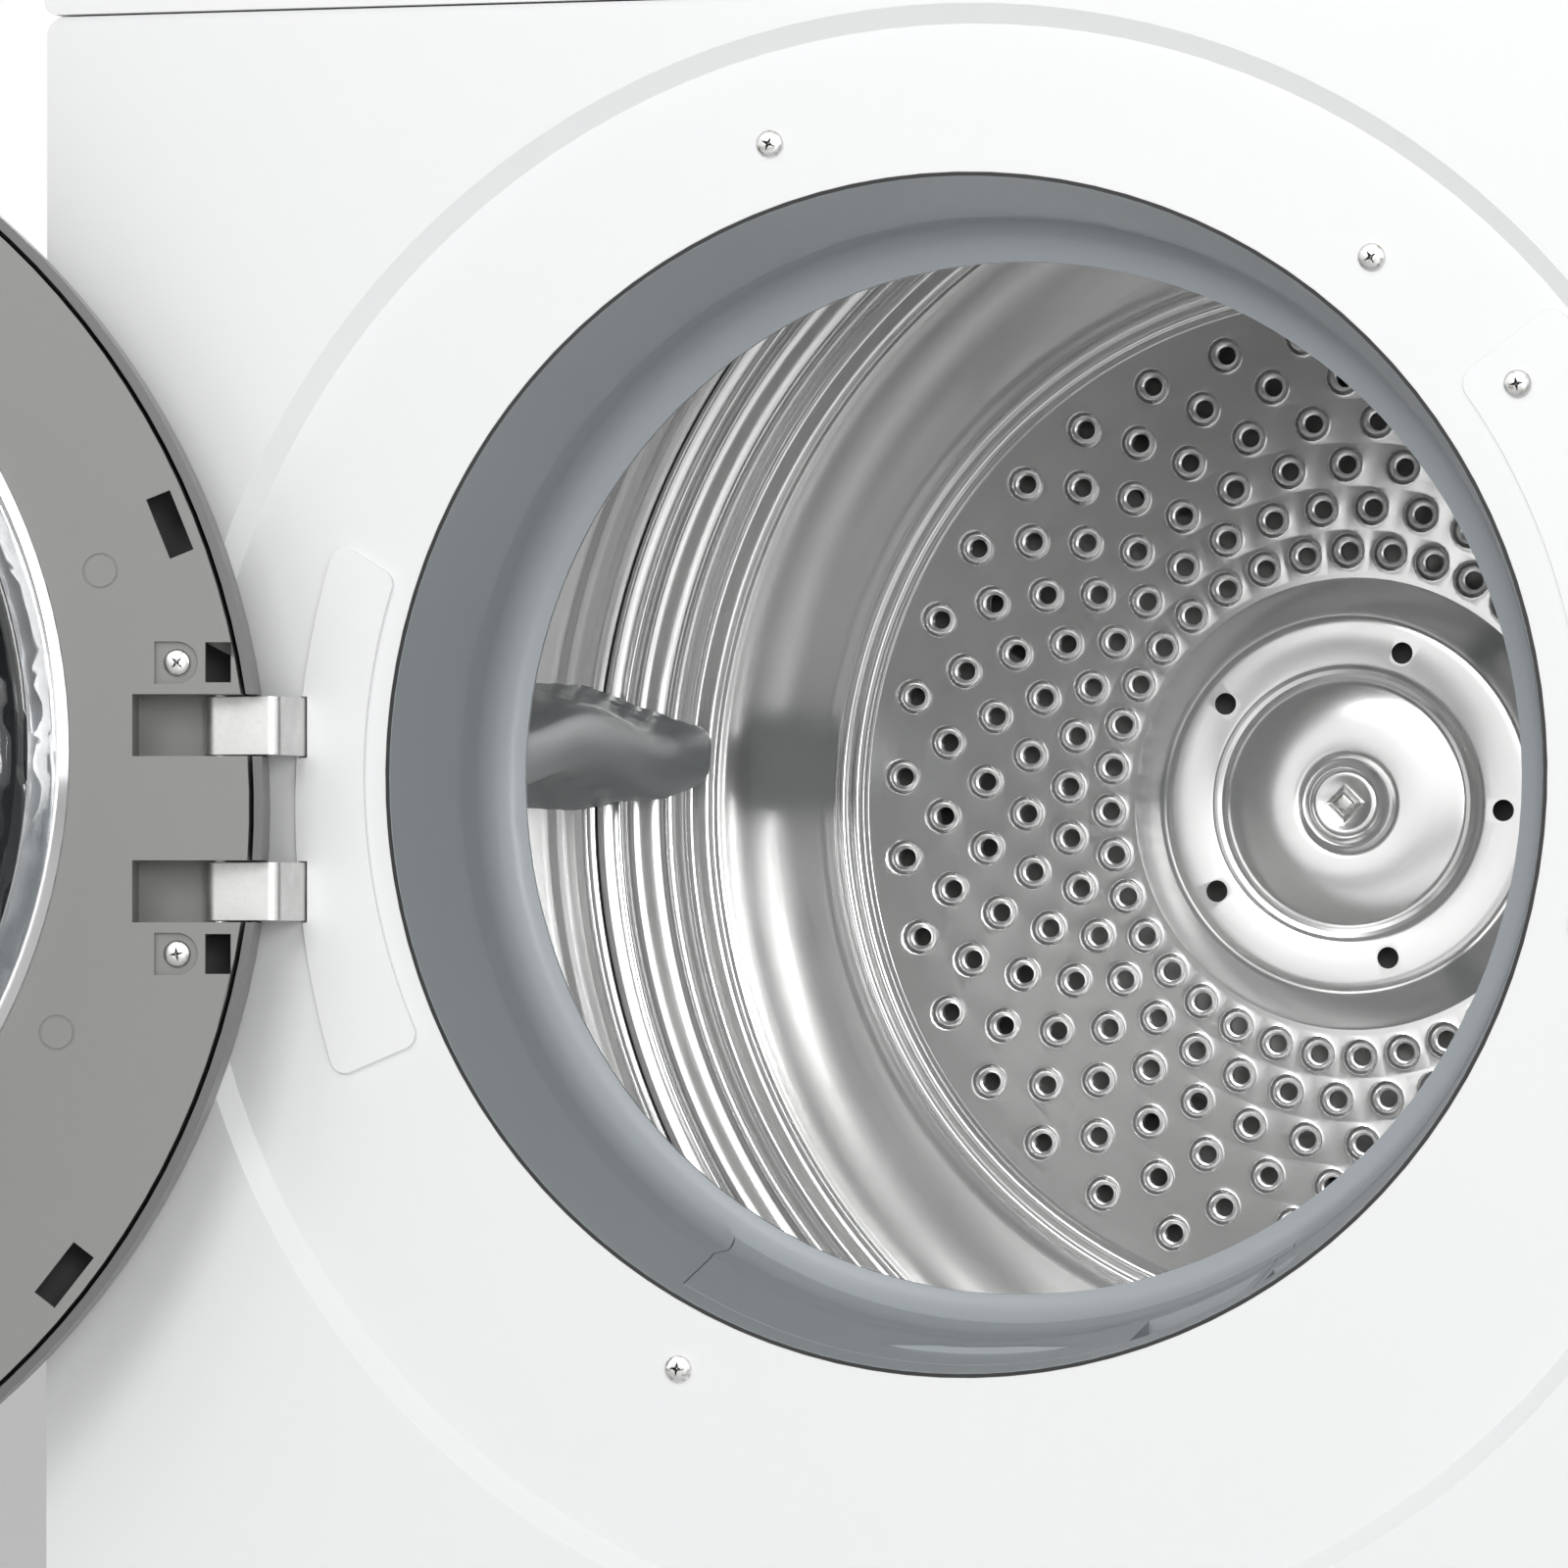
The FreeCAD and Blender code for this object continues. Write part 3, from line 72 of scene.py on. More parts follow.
# Depths are in millimetres behind the opening's plane, and radii in millimetres from the drum's axis.
MM = 0.001
COLLAR_LOW, COLLAR_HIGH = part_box("door_collar")
SHELL_LOW, SHELL_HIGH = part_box("drum_shell")
PANEL_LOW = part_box("front_panel")[0]
OPENING_Z = (COLLAR_LOW.z + COLLAR_HIGH.z) / 2
RECESS_DEPTH = 5 * MM
OPENING_Y = PANEL_LOW.y + RECESS_DEPTH
DRUM_Z = (SHELL_LOW.z + SHELL_HIGH.z) / 2
DISC_DEPTH = 528.0
BACK_PLANE = OPENING_Y + DISC_DEPTH * MM
SHELL_R = 279.0


# ---- settings ----

class DryerSizes(bpy.types.PropertyGroup):
    """Sizes of the pressed and moulded details."""

    dimple_radius: bpy.props.FloatProperty(
        name="Dimple radius", description="Radius of each dished dimple in the drum's back",
        default=6.5 * MM, unit="LENGTH")
    dimple_depth: bpy.props.FloatProperty(
        name="Dimple depth", description="How far each dimple is pressed back",
        default=3.3 * MM, unit="LENGTH")
    hole_radius: bpy.props.FloatProperty(
        name="Hole radius", description="Radius of the air hole in each dimple",
        default=3.3 * MM, unit="LENGTH")
    first_ring: bpy.props.FloatProperty(
        name="First ring", description="Radius of the innermost ring of dimples",
        default=91.0 * MM, unit="LENGTH")
    ring_pitch: bpy.props.FloatProperty(
        name="Ring pitch", description="Distance between rings of dimples",
        default=15.6 * MM, unit="LENGTH")
    rings: bpy.props.IntProperty(
        name="Rings", description="How many rings of dimples", default=6, min=1, max=8)
    dimples_per_ring: bpy.props.IntProperty(
        name="Dimples per ring", description="How many dimples in each ring",
        default=36, min=12, max=48)
    lifter_height: bpy.props.FloatProperty(
        name="Lifter height", description="How far a lifter stands into the drum",
        default=45.0 * MM, unit="LENGTH")


class DryerColours(bpy.types.PropertyGroup):
    """Base colours of the finishes."""

    enamel: bpy.props.FloatVectorProperty(
        name="Enamel", description="White painted steel", subtype="COLOR", size=4,
        default=(0.82, 0.825, 0.83, 1), min=0, max=1)
    white_moulding: bpy.props.FloatVectorProperty(
        name="White moulding", description="White plastic parts", subtype="COLOR", size=4,
        default=(0.84, 0.845, 0.85, 1), min=0, max=1)
    throat_grey: bpy.props.FloatVectorProperty(
        name="Throat grey", description="Moulded collar, filter and lifters", subtype="COLOR", size=4,
        default=(0.345, 0.375, 0.395, 1), min=0, max=1)
    door_grey: bpy.props.FloatVectorProperty(
        name="Door grey", description="Inner face of the door", subtype="COLOR", size=4,
        default=(0.245, 0.243, 0.236, 1), min=0, max=1)
    graphite: bpy.props.FloatVectorProperty(
        name="Graphite", description="Outer casing of the door", subtype="COLOR", size=4,
        default=(0.13, 0.13, 0.13, 1), min=0, max=1)
    steel: bpy.props.FloatVectorProperty(
        name="Steel", description="Stainless drum", subtype="COLOR", size=4,
        default=(0.93, 0.93, 0.925, 1), min=0, max=1)


def sizes():
    return bpy.context.scene.dryer_sizes


def colours():
    return bpy.context.scene.dryer_colours


# ---- modelling helpers ----

def clear():
    """Object mode with nothing selected."""
    active = bpy.context.view_layer.objects.active
    if active and active.mode != "OBJECT":
        bpy.ops.object.mode_set(mode="OBJECT")
    bpy.ops.object.select_all(action="DESELECT")


def pick(piece):
    clear()
    piece.select_set(True)
    bpy.context.view_layer.objects.active = piece


def edit(piece):
    pick(piece)
    bpy.ops.object.mode_set(mode="EDIT")
    bpy.ops.mesh.select_mode(type="VERT")
    bpy.ops.mesh.select_all(action="SELECT")


def settle():
    bpy.ops.object.mode_set(mode="OBJECT")
    bpy.ops.object.transform_apply(location=True, rotation=True, scale=True)


def run_profile(centre, profile):
    """Extrude the selected loop through (radius, y) stations about the Y axis at centre (x, z)."""
    for (r0, y0), (r1, y1) in zip(profile, profile[1:]):
        bpy.ops.mesh.extrude_region_move(TRANSFORM_OT_translate={"value": (0, y1 - y0, 0)})
        if abs(r1 - r0) > 1e-8:
            k = r1 / r0
            bpy.ops.transform.resize(value=(k, 1, k), center_override=(centre[0], y1, centre[1]))


def lathe(name, centre, profile, steps, close=False):
    """Turned surface about a line along Y through centre (x, z); close joins the last loop to the first."""
    clear()
    r0, y0 = profile[0]
    bpy.ops.mesh.primitive_circle_add(
        vertices=steps, radius=r0, fill_type="NOTHING",
        location=(centre[0], y0, centre[1]), rotation=(math.pi / 2, 0, 0))
    piece = bpy.context.object
    piece.name = name
    bpy.ops.object.transform_apply(location=True, rotation=True, scale=True)
    edit(piece)
    run_profile(centre, profile + profile[:1] if close else profile)
    bpy.ops.mesh.select_all(action="SELECT")
    bpy.ops.mesh.remove_doubles(threshold=1e-6)
    bpy.ops.mesh.normals_make_consistent(inside=False)
    settle()
    return piece


def apply(piece, kind, **values):
    """Add a modifier with these values and apply it."""
    pick(piece)
    modifier = piece.modifiers.new(kind.title(), kind)
    for key, value in values.items():
        setattr(modifier, key, value)
    bpy.ops.object.modifier_apply(modifier=modifier.name)


def cut(piece, tools):
    """Cut pieces out of another and remove the cutters."""
    for tool in tools:
        apply(piece, "BOOLEAN", operation="DIFFERENCE", object=tool, solver="EXACT")
        bpy.data.objects.remove(tool)


def smooth(piece, degrees, even=False):
    """Smooth shading up to an angle; even keeps big flat faces flat."""
    pick(piece)
    bpy.ops.object.shade_smooth_by_angle(angle=math.radians(degrees))
    if even:
        apply(piece, "WEIGHTED_NORMAL", keep_sharp=True, weight=90)


def join(pieces, name):
    clear()
    for piece in pieces:
        piece.select_set(True)
    bpy.context.view_layer.objects.active = pieces[0]
    bpy.ops.object.join()
    pieces[0].name = name
    return pieces[0]


def finished(node, softness):
    """Copy of a designed part with its edges softened, standing in for it."""
    angle = 30
    source = frame["nodes"][node]
    pick(source)
    bpy.ops.object.duplicate()
    piece = bpy.context.object
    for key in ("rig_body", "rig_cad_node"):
        if key in piece:
            del piece[key]
    piece.parent = None
    piece.name = node + "_finish"
    edit(piece)
    bpy.ops.mesh.remove_doubles(threshold=2e-6)
    bpy.ops.mesh.dissolve_limited(angle_limit=math.radians(0.4))
    bpy.ops.object.mode_set(mode="OBJECT")
    if softness:
        apply(piece, "BEVEL", width=softness, segments=2, limit_method="ANGLE",
              angle_limit=math.radians(angle), use_clamp_overlap=True)
    smooth(piece, angle, even=True)
    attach(piece, body_of(node))
    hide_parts(node)
    return piece


def body_of(node):
    for body, members in frame["record"]["behaviour"]["bodies"].items():
        if node in members:
            return body
    raise RuntimeError("no body holds " + node)


def node_slot(node):
    for part in frame["record"]["subparts"]:
        if part["node"] == node:
            return part["material_slot"]
    raise RuntimeError("no finish is given for " + node)


def dress(piece, slot):
    """Give a piece the one finish of this slot."""
    piece.data.materials.clear()
    piece.data.materials.append(bpy.data.materials[slot])


# ---- shared effects ----

def new_group(name, inputs, outputs):
    tree = bpy.data.node_groups.new(name, "ShaderNodeTree")
    for label, kind, default in inputs:
        socket = tree.interface.new_socket(name=label, in_out="INPUT", socket_type=kind)
        if default is not None:
            socket.default_value = default
    for label, kind in outputs:
        tree.interface.new_socket(name=label, in_out="OUTPUT", socket_type=kind)
    return tree, tree.nodes.new("NodeGroupInput"), tree.nodes.new("NodeGroupOutput")


def math_node(tree, operation, a, b=None):
    node = tree.nodes.new("ShaderNodeMath")
    node.operation = operation
    for i, value in enumerate((a, b)):
        if value is None:
            continue
        if isinstance(value, (int, float)):
            node.inputs[i].default_value = value
        else:
            tree.links.new(value, node.inputs[i])
    return node.outputs[0]


def ramp(tree, value, low, high, out_low=0.0, out_high=1.0):
    node = tree.nodes.new("ShaderNodeMapRange")
    tree.links.new(value, node.inputs["Value"])
    limits = {"From Min": low, "From Max": high, "To Min": out_low, "To Max": out_high}
    for key, number in limits.items():
        node.inputs[key].default_value = number
    return node.outputs["Result"]


def noise(tree, vector, scale, detail=3.0, roughness=0.5, w=None):
    node = tree.nodes.new("ShaderNodeTexNoise")
    if w is not None:
        node.noise_dimensions = "4D"
        tree.links.new(w, node.inputs["W"])
    tree.links.new(vector, node.inputs["Vector"])
    if isinstance(scale, (int, float)):
        node.inputs["Scale"].default_value = scale
    else:
        tree.links.new(scale, node.inputs["Scale"])
    node.inputs["Detail"].default_value = detail
    node.inputs["Roughness"].default_value = roughness
    return node.outputs["Fac"]


def mix_colour(tree, factor, a, b):
    node = tree.nodes.new("ShaderNodeMix")
    node.data_type = "RGBA"
    tree.links.new(factor, node.inputs["Factor"])
    for socket, value in ((node.inputs[6], a), (node.inputs[7], b)):
        if isinstance(value, tuple):
            socket.default_value = value
        else:
            tree.links.new(value, socket)
    return node.outputs[2]


def build_grain_group():
    """Fine moulded or sprayed texture with a broad uneven tint."""
    tree, start, end = new_group(
        "Moulded grain",
        [("Vector", "NodeSocketVector", None), ("Fineness", "NodeSocketFloat", 1500.0)],
        [("Height", "NodeSocketFloat"), ("Tint", "NodeSocketFloat")])
    fine = noise(tree, start.outputs["Vector"], start.outputs["Fineness"], 2.0)
    broad = noise(tree, start.outputs["Vector"], 7.0, 3.0)
    tree.links.new(fine, end.inputs["Height"])
    tree.links.new(broad, end.inputs["Tint"])


def build_brush_group():
    """Scratches that run round the Y axis, as polished sheet shows."""
    tree, start, end = new_group(
        "Round brushing",
        [("Vector", "NodeSocketVector", None), ("Fineness", "NodeSocketFloat", 2500.0),
         ("Length", "NodeSocketFloat", 3.0)],
        [("Streaks", "NodeSocketFloat"), ("Bands", "NodeSocketFloat"), ("Smears", "NodeSocketFloat")])
    split = tree.nodes.new("ShaderNodeSeparateXYZ")
    tree.links.new(start.outputs["Vector"], split.inputs[0])
    x, y, z = split.outputs
    radius = math_node(tree, "SQRT", math_node(tree, "ADD", math_node(tree, "MULTIPLY", x, x),
                                               math_node(tree, "MULTIPLY", z, z)))
    across = math_node(tree, "ADD", radius, math_node(tree, "MULTIPLY", y, 1.13))
    turn = []
    for part in (x, z):
        share = math_node(tree, "DIVIDE", part, radius)
        turn.append(math_node(tree, "MULTIPLY", share, start.outputs["Length"]))
    vector = tree.nodes.new("ShaderNodeCombineXYZ")
    tree.links.new(turn[0], vector.inputs[0])
    tree.links.new(turn[1], vector.inputs[1])
    fine = math_node(tree, "MULTIPLY", across, start.outputs["Fineness"])
    streaks = noise(tree, vector.outputs[0], 1.0, 3.0, 0.6, w=fine)
    bands = noise(tree, vector.outputs[0], 0.5, 2.0, 0.5, w=math_node(tree, "MULTIPLY", across, 260.0))
    smears = noise(tree, start.outputs["Vector"], 11.0, 3.0, 0.55)
    tree.links.new(streaks, end.inputs["Streaks"])
    tree.links.new(bands, end.inputs["Bands"])
    tree.links.new(smears, end.inputs["Smears"])


def build_stain_group():
    """Cloudy passivated patches and small spots of plated steel."""
    tree, start, end = new_group(
        "Plating stains",
        [("Vector", "NodeSocketVector", None), ("Scale", "NodeSocketFloat", 90.0)],
        [("Clouds", "NodeSocketFloat"), ("Spots", "NodeSocketFloat"), ("Lines", "NodeSocketFloat")])
    clouds = noise(tree, start.outputs["Vector"], start.outputs["Scale"], 5.0, 0.6)
    spots = noise(tree, start.outputs["Vector"], 700.0, 2.0, 0.5)
    squash = tree.nodes.new("ShaderNodeMapping")
    squash.inputs["Scale"].default_value = (0.06, 0.06, 1.0)
    tree.links.new(start.outputs["Vector"], squash.inputs["Vector"])
    lines = noise(tree, squash.outputs[0], 2400.0, 2.0)
    tree.links.new(ramp(tree, clouds, 0.35, 0.68), end.inputs["Clouds"])
    tree.links.new(ramp(tree, spots, 0.56, 0.70), end.inputs["Spots"])
    tree.links.new(lines, end.inputs["Lines"])


# ---- finishes ----

def shader(name, **constants):
    """New finish in place of the plain one of that name; constants go on the shader's own sockets."""
    plain = bpy.data.materials.get(name)
    if plain:
        plain.name = name + "_plain"
    material = bpy.data.materials.new(name)
    material.use_nodes = True
    bsdf = material.node_tree.nodes["Principled BSDF"]
    for key, value in constants.items():
        bsdf.inputs[key.replace("_", " ")].default_value = value
    return material.node_tree, bsdf


def place(tree, centre=(0.0, 0.0, 0.0)):
    """Object coordinates moved so that the pattern's centre is at centre."""
    coords = tree.nodes.new("ShaderNodeTexCoord")
    mapping = tree.nodes.new("ShaderNodeMapping")
    mapping.inputs["Location"].default_value = tuple(-c for c in centre)
    tree.links.new(coords.outputs["Object"], mapping.inputs["Vector"])
    return mapping.outputs[0]


def use(tree, group, **links):
    node = tree.nodes.new("ShaderNodeGroup")
    node.node_tree = bpy.data.node_groups[group]
    for key, value in links.items():
        if isinstance(value, (int, float)):
            node.inputs[key].default_value = value
        else:
            tree.links.new(value, node.inputs[key])
    return node.outputs


def bump(tree, bsdf, height, distance):
    node = tree.nodes.new("ShaderNodeBump")
    node.inputs["Distance"].default_value = distance
    node.inputs["Strength"].default_value = 1.0
    tree.links.new(height, node.inputs["Height"])
    tree.links.new(node.outputs[0], bsdf.inputs["Normal"])


def moulded(name, colour, roughness, fineness, relief, uneven, spread, **constants):
    """Moulded, painted or sprayed finish with grain, uneven tint and uneven gloss."""
    tree, bsdf = shader(name, **constants)
    out = use(tree, "Moulded grain", Vector=place(tree), Fineness=fineness)
    dark = tuple(c * (1 - uneven) for c in colour[:3]) + (1,)
    tree.links.new(mix_colour(tree, out["Tint"], dark, tuple(colour)), bsdf.inputs["Base Color"])
    tree.links.new(ramp(tree, out["Tint"], 0.3, 0.7, roughness - spread / 2, roughness + spread / 2),
                   bsdf.inputs["Roughness"])
    bump(tree, bsdf, out["Height"], relief)


def turned_steel(name, colour, centre, low, high, **constants):
    """Stainless sheet brushed round an axis along Y through centre."""
    tree, bsdf = shader(name, **constants)
    out = use(tree, "Round brushing", Vector=place(tree, centre))
    dark = tuple(c * 0.93 for c in colour[:3]) + (1,)
    tree.links.new(mix_colour(tree, out["Bands"], dark, tuple(colour)), bsdf.inputs["Base Color"])
    level = math_node(tree, "ADD", ramp(tree, out["Streaks"], 0.3, 0.7, low, high),
                      ramp(tree, out["Smears"], 0.35, 0.7, -0.03, 0.05))
    tree.links.new(level, bsdf.inputs["Roughness"])
    bump(tree, bsdf, out["Streaks"], 0.0005 * MM)
    tangent = tree.nodes.new("ShaderNodeTangent")
    tangent.direction_type = "RADIAL"
    tangent.axis = "Y"
    tree.links.new(tangent.outputs[0], bsdf.inputs["Tangent"])


def plated(name, colour, roughness, stain=1.0):
    """Plated steel with cloudy stains; stain 0 is clean."""
    tree, bsdf = shader(name, Metallic=1.0)
    out = use(tree, "Plating stains", Vector=place(tree))
    dull = tuple(c * (1 - 0.38 * stain) for c in colour[:3]) + (1,)
    loss = (0.50, 0.54, 0.60)
    spot = tuple(c * (1 - k * stain) for c, k in zip(colour[:3], loss)) + (1,)
    base = mix_colour(tree, out["Clouds"], tuple(colour), dull)
    base = mix_colour(tree, out["Spots"], base, spot)
    tree.links.new(base, bsdf.inputs["Base Color"])
    tree.links.new(ramp(tree, out["Clouds"], 0.0, 1.0, roughness, roughness + 0.16),
                   bsdf.inputs["Roughness"])
    bump(tree, bsdf, out["Lines"], 0.006 * MM)


class DRYER_OT_finishes(bpy.types.Operator):
    """Build the shared effects and every finish"""

    bl_idname = "dryer.finishes"
    bl_label = "Finishes"

    def execute(self, context):
        tint = colours()
        build_grain_group()
        build_brush_group()
        build_stain_group()
        moulded("white_paint", tint.enamel, roughness=0.34, fineness=900.0,
                relief=0.012 * MM, uneven=0.012, spread=0.05, Coat_Weight=0.15, Coat_Roughness=0.25)
        moulded("white_laminate", tint.enamel, roughness=0.42, fineness=1300.0,
                relief=0.02 * MM, uneven=0.02, spread=0.08)
        moulded("white_plastic", tint.white_moulding, roughness=0.38, fineness=1800.0,
                relief=0.008 * MM, uneven=0.015, spread=0.06)
        moulded("silver_plastic", (0.58, 0.59, 0.60, 1), roughness=0.28, fineness=2600.0,
                relief=0.008 * MM, uneven=0.05, spread=0.06, Metallic=0.8)
        moulded("black_gloss", (0.008, 0.008, 0.009, 1), roughness=0.06, fineness=300.0,
                relief=0.001 * MM, uneven=0.1, spread=0.03, Coat_Weight=0.6)
        moulded("grey_plastic", tint.throat_grey, roughness=0.34, fineness=1600.0,
                relief=0.008 * MM, uneven=0.06, spread=0.08)
        moulded("door_grey", tint.door_grey, roughness=0.50, fineness=2600.0,
                relief=0.03 * MM, uneven=0.03, spread=0.06)
        moulded("graphite_plastic", tint.graphite, roughness=0.34, fineness=2200.0,
                relief=0.012 * MM, uneven=0.05, spread=0.06)
        moulded("smoked_window", (0.012, 0.013, 0.015, 1), roughness=0.08, fineness=300.0,
                relief=0.001 * MM, uneven=0.1, spread=0.04, Coat_Weight=0.5)
        moulded("bright_trim", (0.80, 0.80, 0.81, 1), roughness=0.10, fineness=800.0,
                relief=0.001 * MM, uneven=0.04, spread=0.05, Metallic=1.0)
        moulded("dark_plastic", (0.055, 0.056, 0.058, 1), roughness=0.50, fineness=1200.0,
                relief=0.02 * MM, uneven=0.15, spread=0.1)
        moulded("black_paint", (0.012, 0.012, 0.013, 1), roughness=0.30, fineness=800.0,
                relief=0.01 * MM, uneven=0.2, spread=0.1)
        moulded("black_rubber", (0.012, 0.012, 0.012, 1), roughness=0.62, fineness=1400.0,
                relief=0.03 * MM, uneven=0.2, spread=0.1)
        moulded("felt", (0.42, 0.40, 0.36, 1), roughness=0.95, fineness=900.0,
                relief=0.6 * MM, uneven=0.4, spread=0.05, Sheen_Weight=0.4)
        moulded("copper_pipe", (0.72, 0.38, 0.24, 1), roughness=0.28, fineness=500.0,
                relief=0.004 * MM, uneven=0.3, spread=0.14, Metallic=1.0)
        plated("zinc_steel", (0.66, 0.66, 0.65, 1), 0.34, stain=0.22)
        plated("zinc_screw", (0.78, 0.78, 0.77, 1), 0.20)
        plated("aluminium_fin", (0.74, 0.75, 0.76, 1), 0.34)
        turned_steel("stainless", tint.steel, (0, 0, DRUM_Z), low=0.13, high=0.22,
                     Metallic=0.70, Anisotropic=0.3)
        glass()
        for node, piece in frame["nodes"].items():
            dress(piece, node_slot(node))
        return {"FINISHED"}


def glass():
    """Thick clear glass with faint smears."""
    tree, bsdf = shader("clear_glass", Transmission_Weight=1.0, IOR=1.5, Base_Color=(0.42, 0.44, 0.45, 1))
    out = use(tree, "Moulded grain", Vector=place(tree), Fineness=60.0)
    tree.links.new(ramp(tree, out["Tint"], 0.5, 0.8, 0.0, 0.03), bsdf.inputs["Roughness"])


# ---- drum ----

def raised(profile, start, end, height, steps=8):
    """Add a rounded bead between two (radius, depth) points; a negative height presses it outwards."""
    (r0, d0), (r1, d1) = start, end
    length = math.hypot(r1 - r0, d1 - d0)
    normal = (-(d1 - d0) / length, (r1 - r0) / length)
    for i in range(steps + 1):
        t = i / steps
        lift = height * math.sin(math.pi * t) ** 1.3
        profile.append((r0 + (r1 - r0) * t + normal[0] * lift, d0 + (d1 - d0) * t + normal[1] * lift))


def to_metres(profile):
    return [(r * MM, OPENING_Y + d * MM) for r, d in profile]


class DRYER_OT_drum_shell(bpy.types.Operator):
    """Rolled drum tube with beads near its seam"""

    bl_idname = "dryer.drum_shell"
    bl_label = "Drum shell"

    def execute(self, context):
        outside = [(262.0, 72.6), (262.0, 72.1), (264, 72.0), (276.5, 72.0), (279.2, 73.2), (280.0, 76),
                   (280.0, 505.6)]
        inside = [(279.4, 505.6), (SHELL_R, 505.2)]
        raised(inside, (SHELL_R, 504.6), (SHELL_R, 496.0), 1.5, 8)
        inside += [(SHELL_R, 494.5)]
        raised(inside, (SHELL_R, 490.0), (SHELL_R, 466.0), 1.4, 12)
        raised(inside, (SHELL_R, 459.0), (SHELL_R, 441.0), 0.8, 10)
        inside += [(SHELL_R, 300.0), (SHELL_R, 120.0), (SHELL_R, 76.0), (278.2, 74.0), (276.2, 73.0),
                   (264.0, 73.0)]
        piece = lathe("drum_shell_rolled", (0, DRUM_Z), to_metres(outside + inside), 360, close=True)
        smooth(piece, 30)
        dress(piece, "stainless")
        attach(piece, "drum")
        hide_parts("drum_shell")
        return {"FINISHED"}


DIMPLE_SIDES = 16
DIMPLE_LIP = 0.9 * MM
FIRST_RING_TURN = 1.4


def dimple_cell(radius, half_pitch, step):
    """One dished dimple with the flat patch of disc round it, at the right of the axis."""
    size = sizes()
    outer, hole, deep = size.dimple_radius, size.hole_radius, size.dimple_depth
    wall = outer - hole
    # (share of the way from hole to rim, share of the depth)
    dish = [(0.06, 0.95), (0.22, 0.96), (0.42, 0.88), (0.62, 0.66), (0.80, 0.34), (0.92, 0.04)]
    shape = [(hole, 1.9), (hole, 1.0)] + [(hole + wall * share, depth) for share, depth in dish]
    shape += [(outer, -0.05), (outer + DIMPLE_LIP, 0.0)]
    profile = [(r, BACK_PLANE + deep * depth) for r, depth in shape]
    cell = lathe("cell", (radius, DRUM_Z), profile, DIMPLE_SIDES)
    for vertex in cell.data.vertices:
        reach = math.hypot(vertex.co.x - radius, vertex.co.z - DRUM_Z)
        vertex.select = abs(reach - profile[-1][0]) < 1e-6
    for edge in cell.data.edges:
        edge.select = all(cell.data.vertices[i].select for i in edge.vertices)
    for face in cell.data.polygons:
        face.select = False
    bpy.ops.object.mode_set(mode="EDIT")
    bpy.ops.mesh.extrude_region_move(TRANSFORM_OT_translate={"value": (0, 0, 0)})
    bpy.ops.object.mode_set(mode="OBJECT")
    low, high = radius - half_pitch, radius + half_pitch
    for vertex in cell.data.vertices:
        if vertex.select:
            angle = math.degrees(math.atan2(vertex.co.z - DRUM_Z, vertex.co.x - radius))
            vertex.co = patch_corner(round(angle * DIMPLE_SIDES / 360), low, high, step, radius)
    return cell


def patch_corner(corner, low, high, step, radius):
    """Place of one of the sixteen points round a dimple's patch, counted from the outward side."""
    side = 1 if corner >= 0 else -1
    corner = abs(corner)
    spots = [(high, 0.0), (high, 0.25), (high, 0.5), (radius + (high - radius) * 0.5, 0.5), (radius, 0.5),
             (radius - (radius - low) * 0.5, 0.5), (low, 0.5), (low, 0.25), (low, 0.0)]
    reach, share = spots[corner]
    turn = math.radians(side * share * step)
    return Vector((reach * math.cos(turn), BACK_PLANE, DRUM_Z + reach * math.sin(turn)))


def around(piece, count, axis_point):
    """Copies of the whole mesh round the drum's axis."""
    edit(piece)
    bpy.ops.mesh.spin(steps=count - 1, dupli=True, angle=2 * math.pi * (count - 1) / count,
                      center=axis_point, axis=(0, 1, 0))
    bpy.ops.object.mode_set(mode="OBJECT")


def turn_about_drum(piece, degrees):
    """Turn a mesh about the drum's axis and keep the object at the origin."""
    spot = Vector((0, 0, DRUM_Z))
    turn = Matrix.Rotation(math.radians(degrees), 4, "Y")
    piece.matrix_world = Matrix.Translation(spot) @ turn @ Matrix.Translation(-spot)
    pick(piece)
    bpy.ops.object.transform_apply(location=True, rotation=True, scale=True)


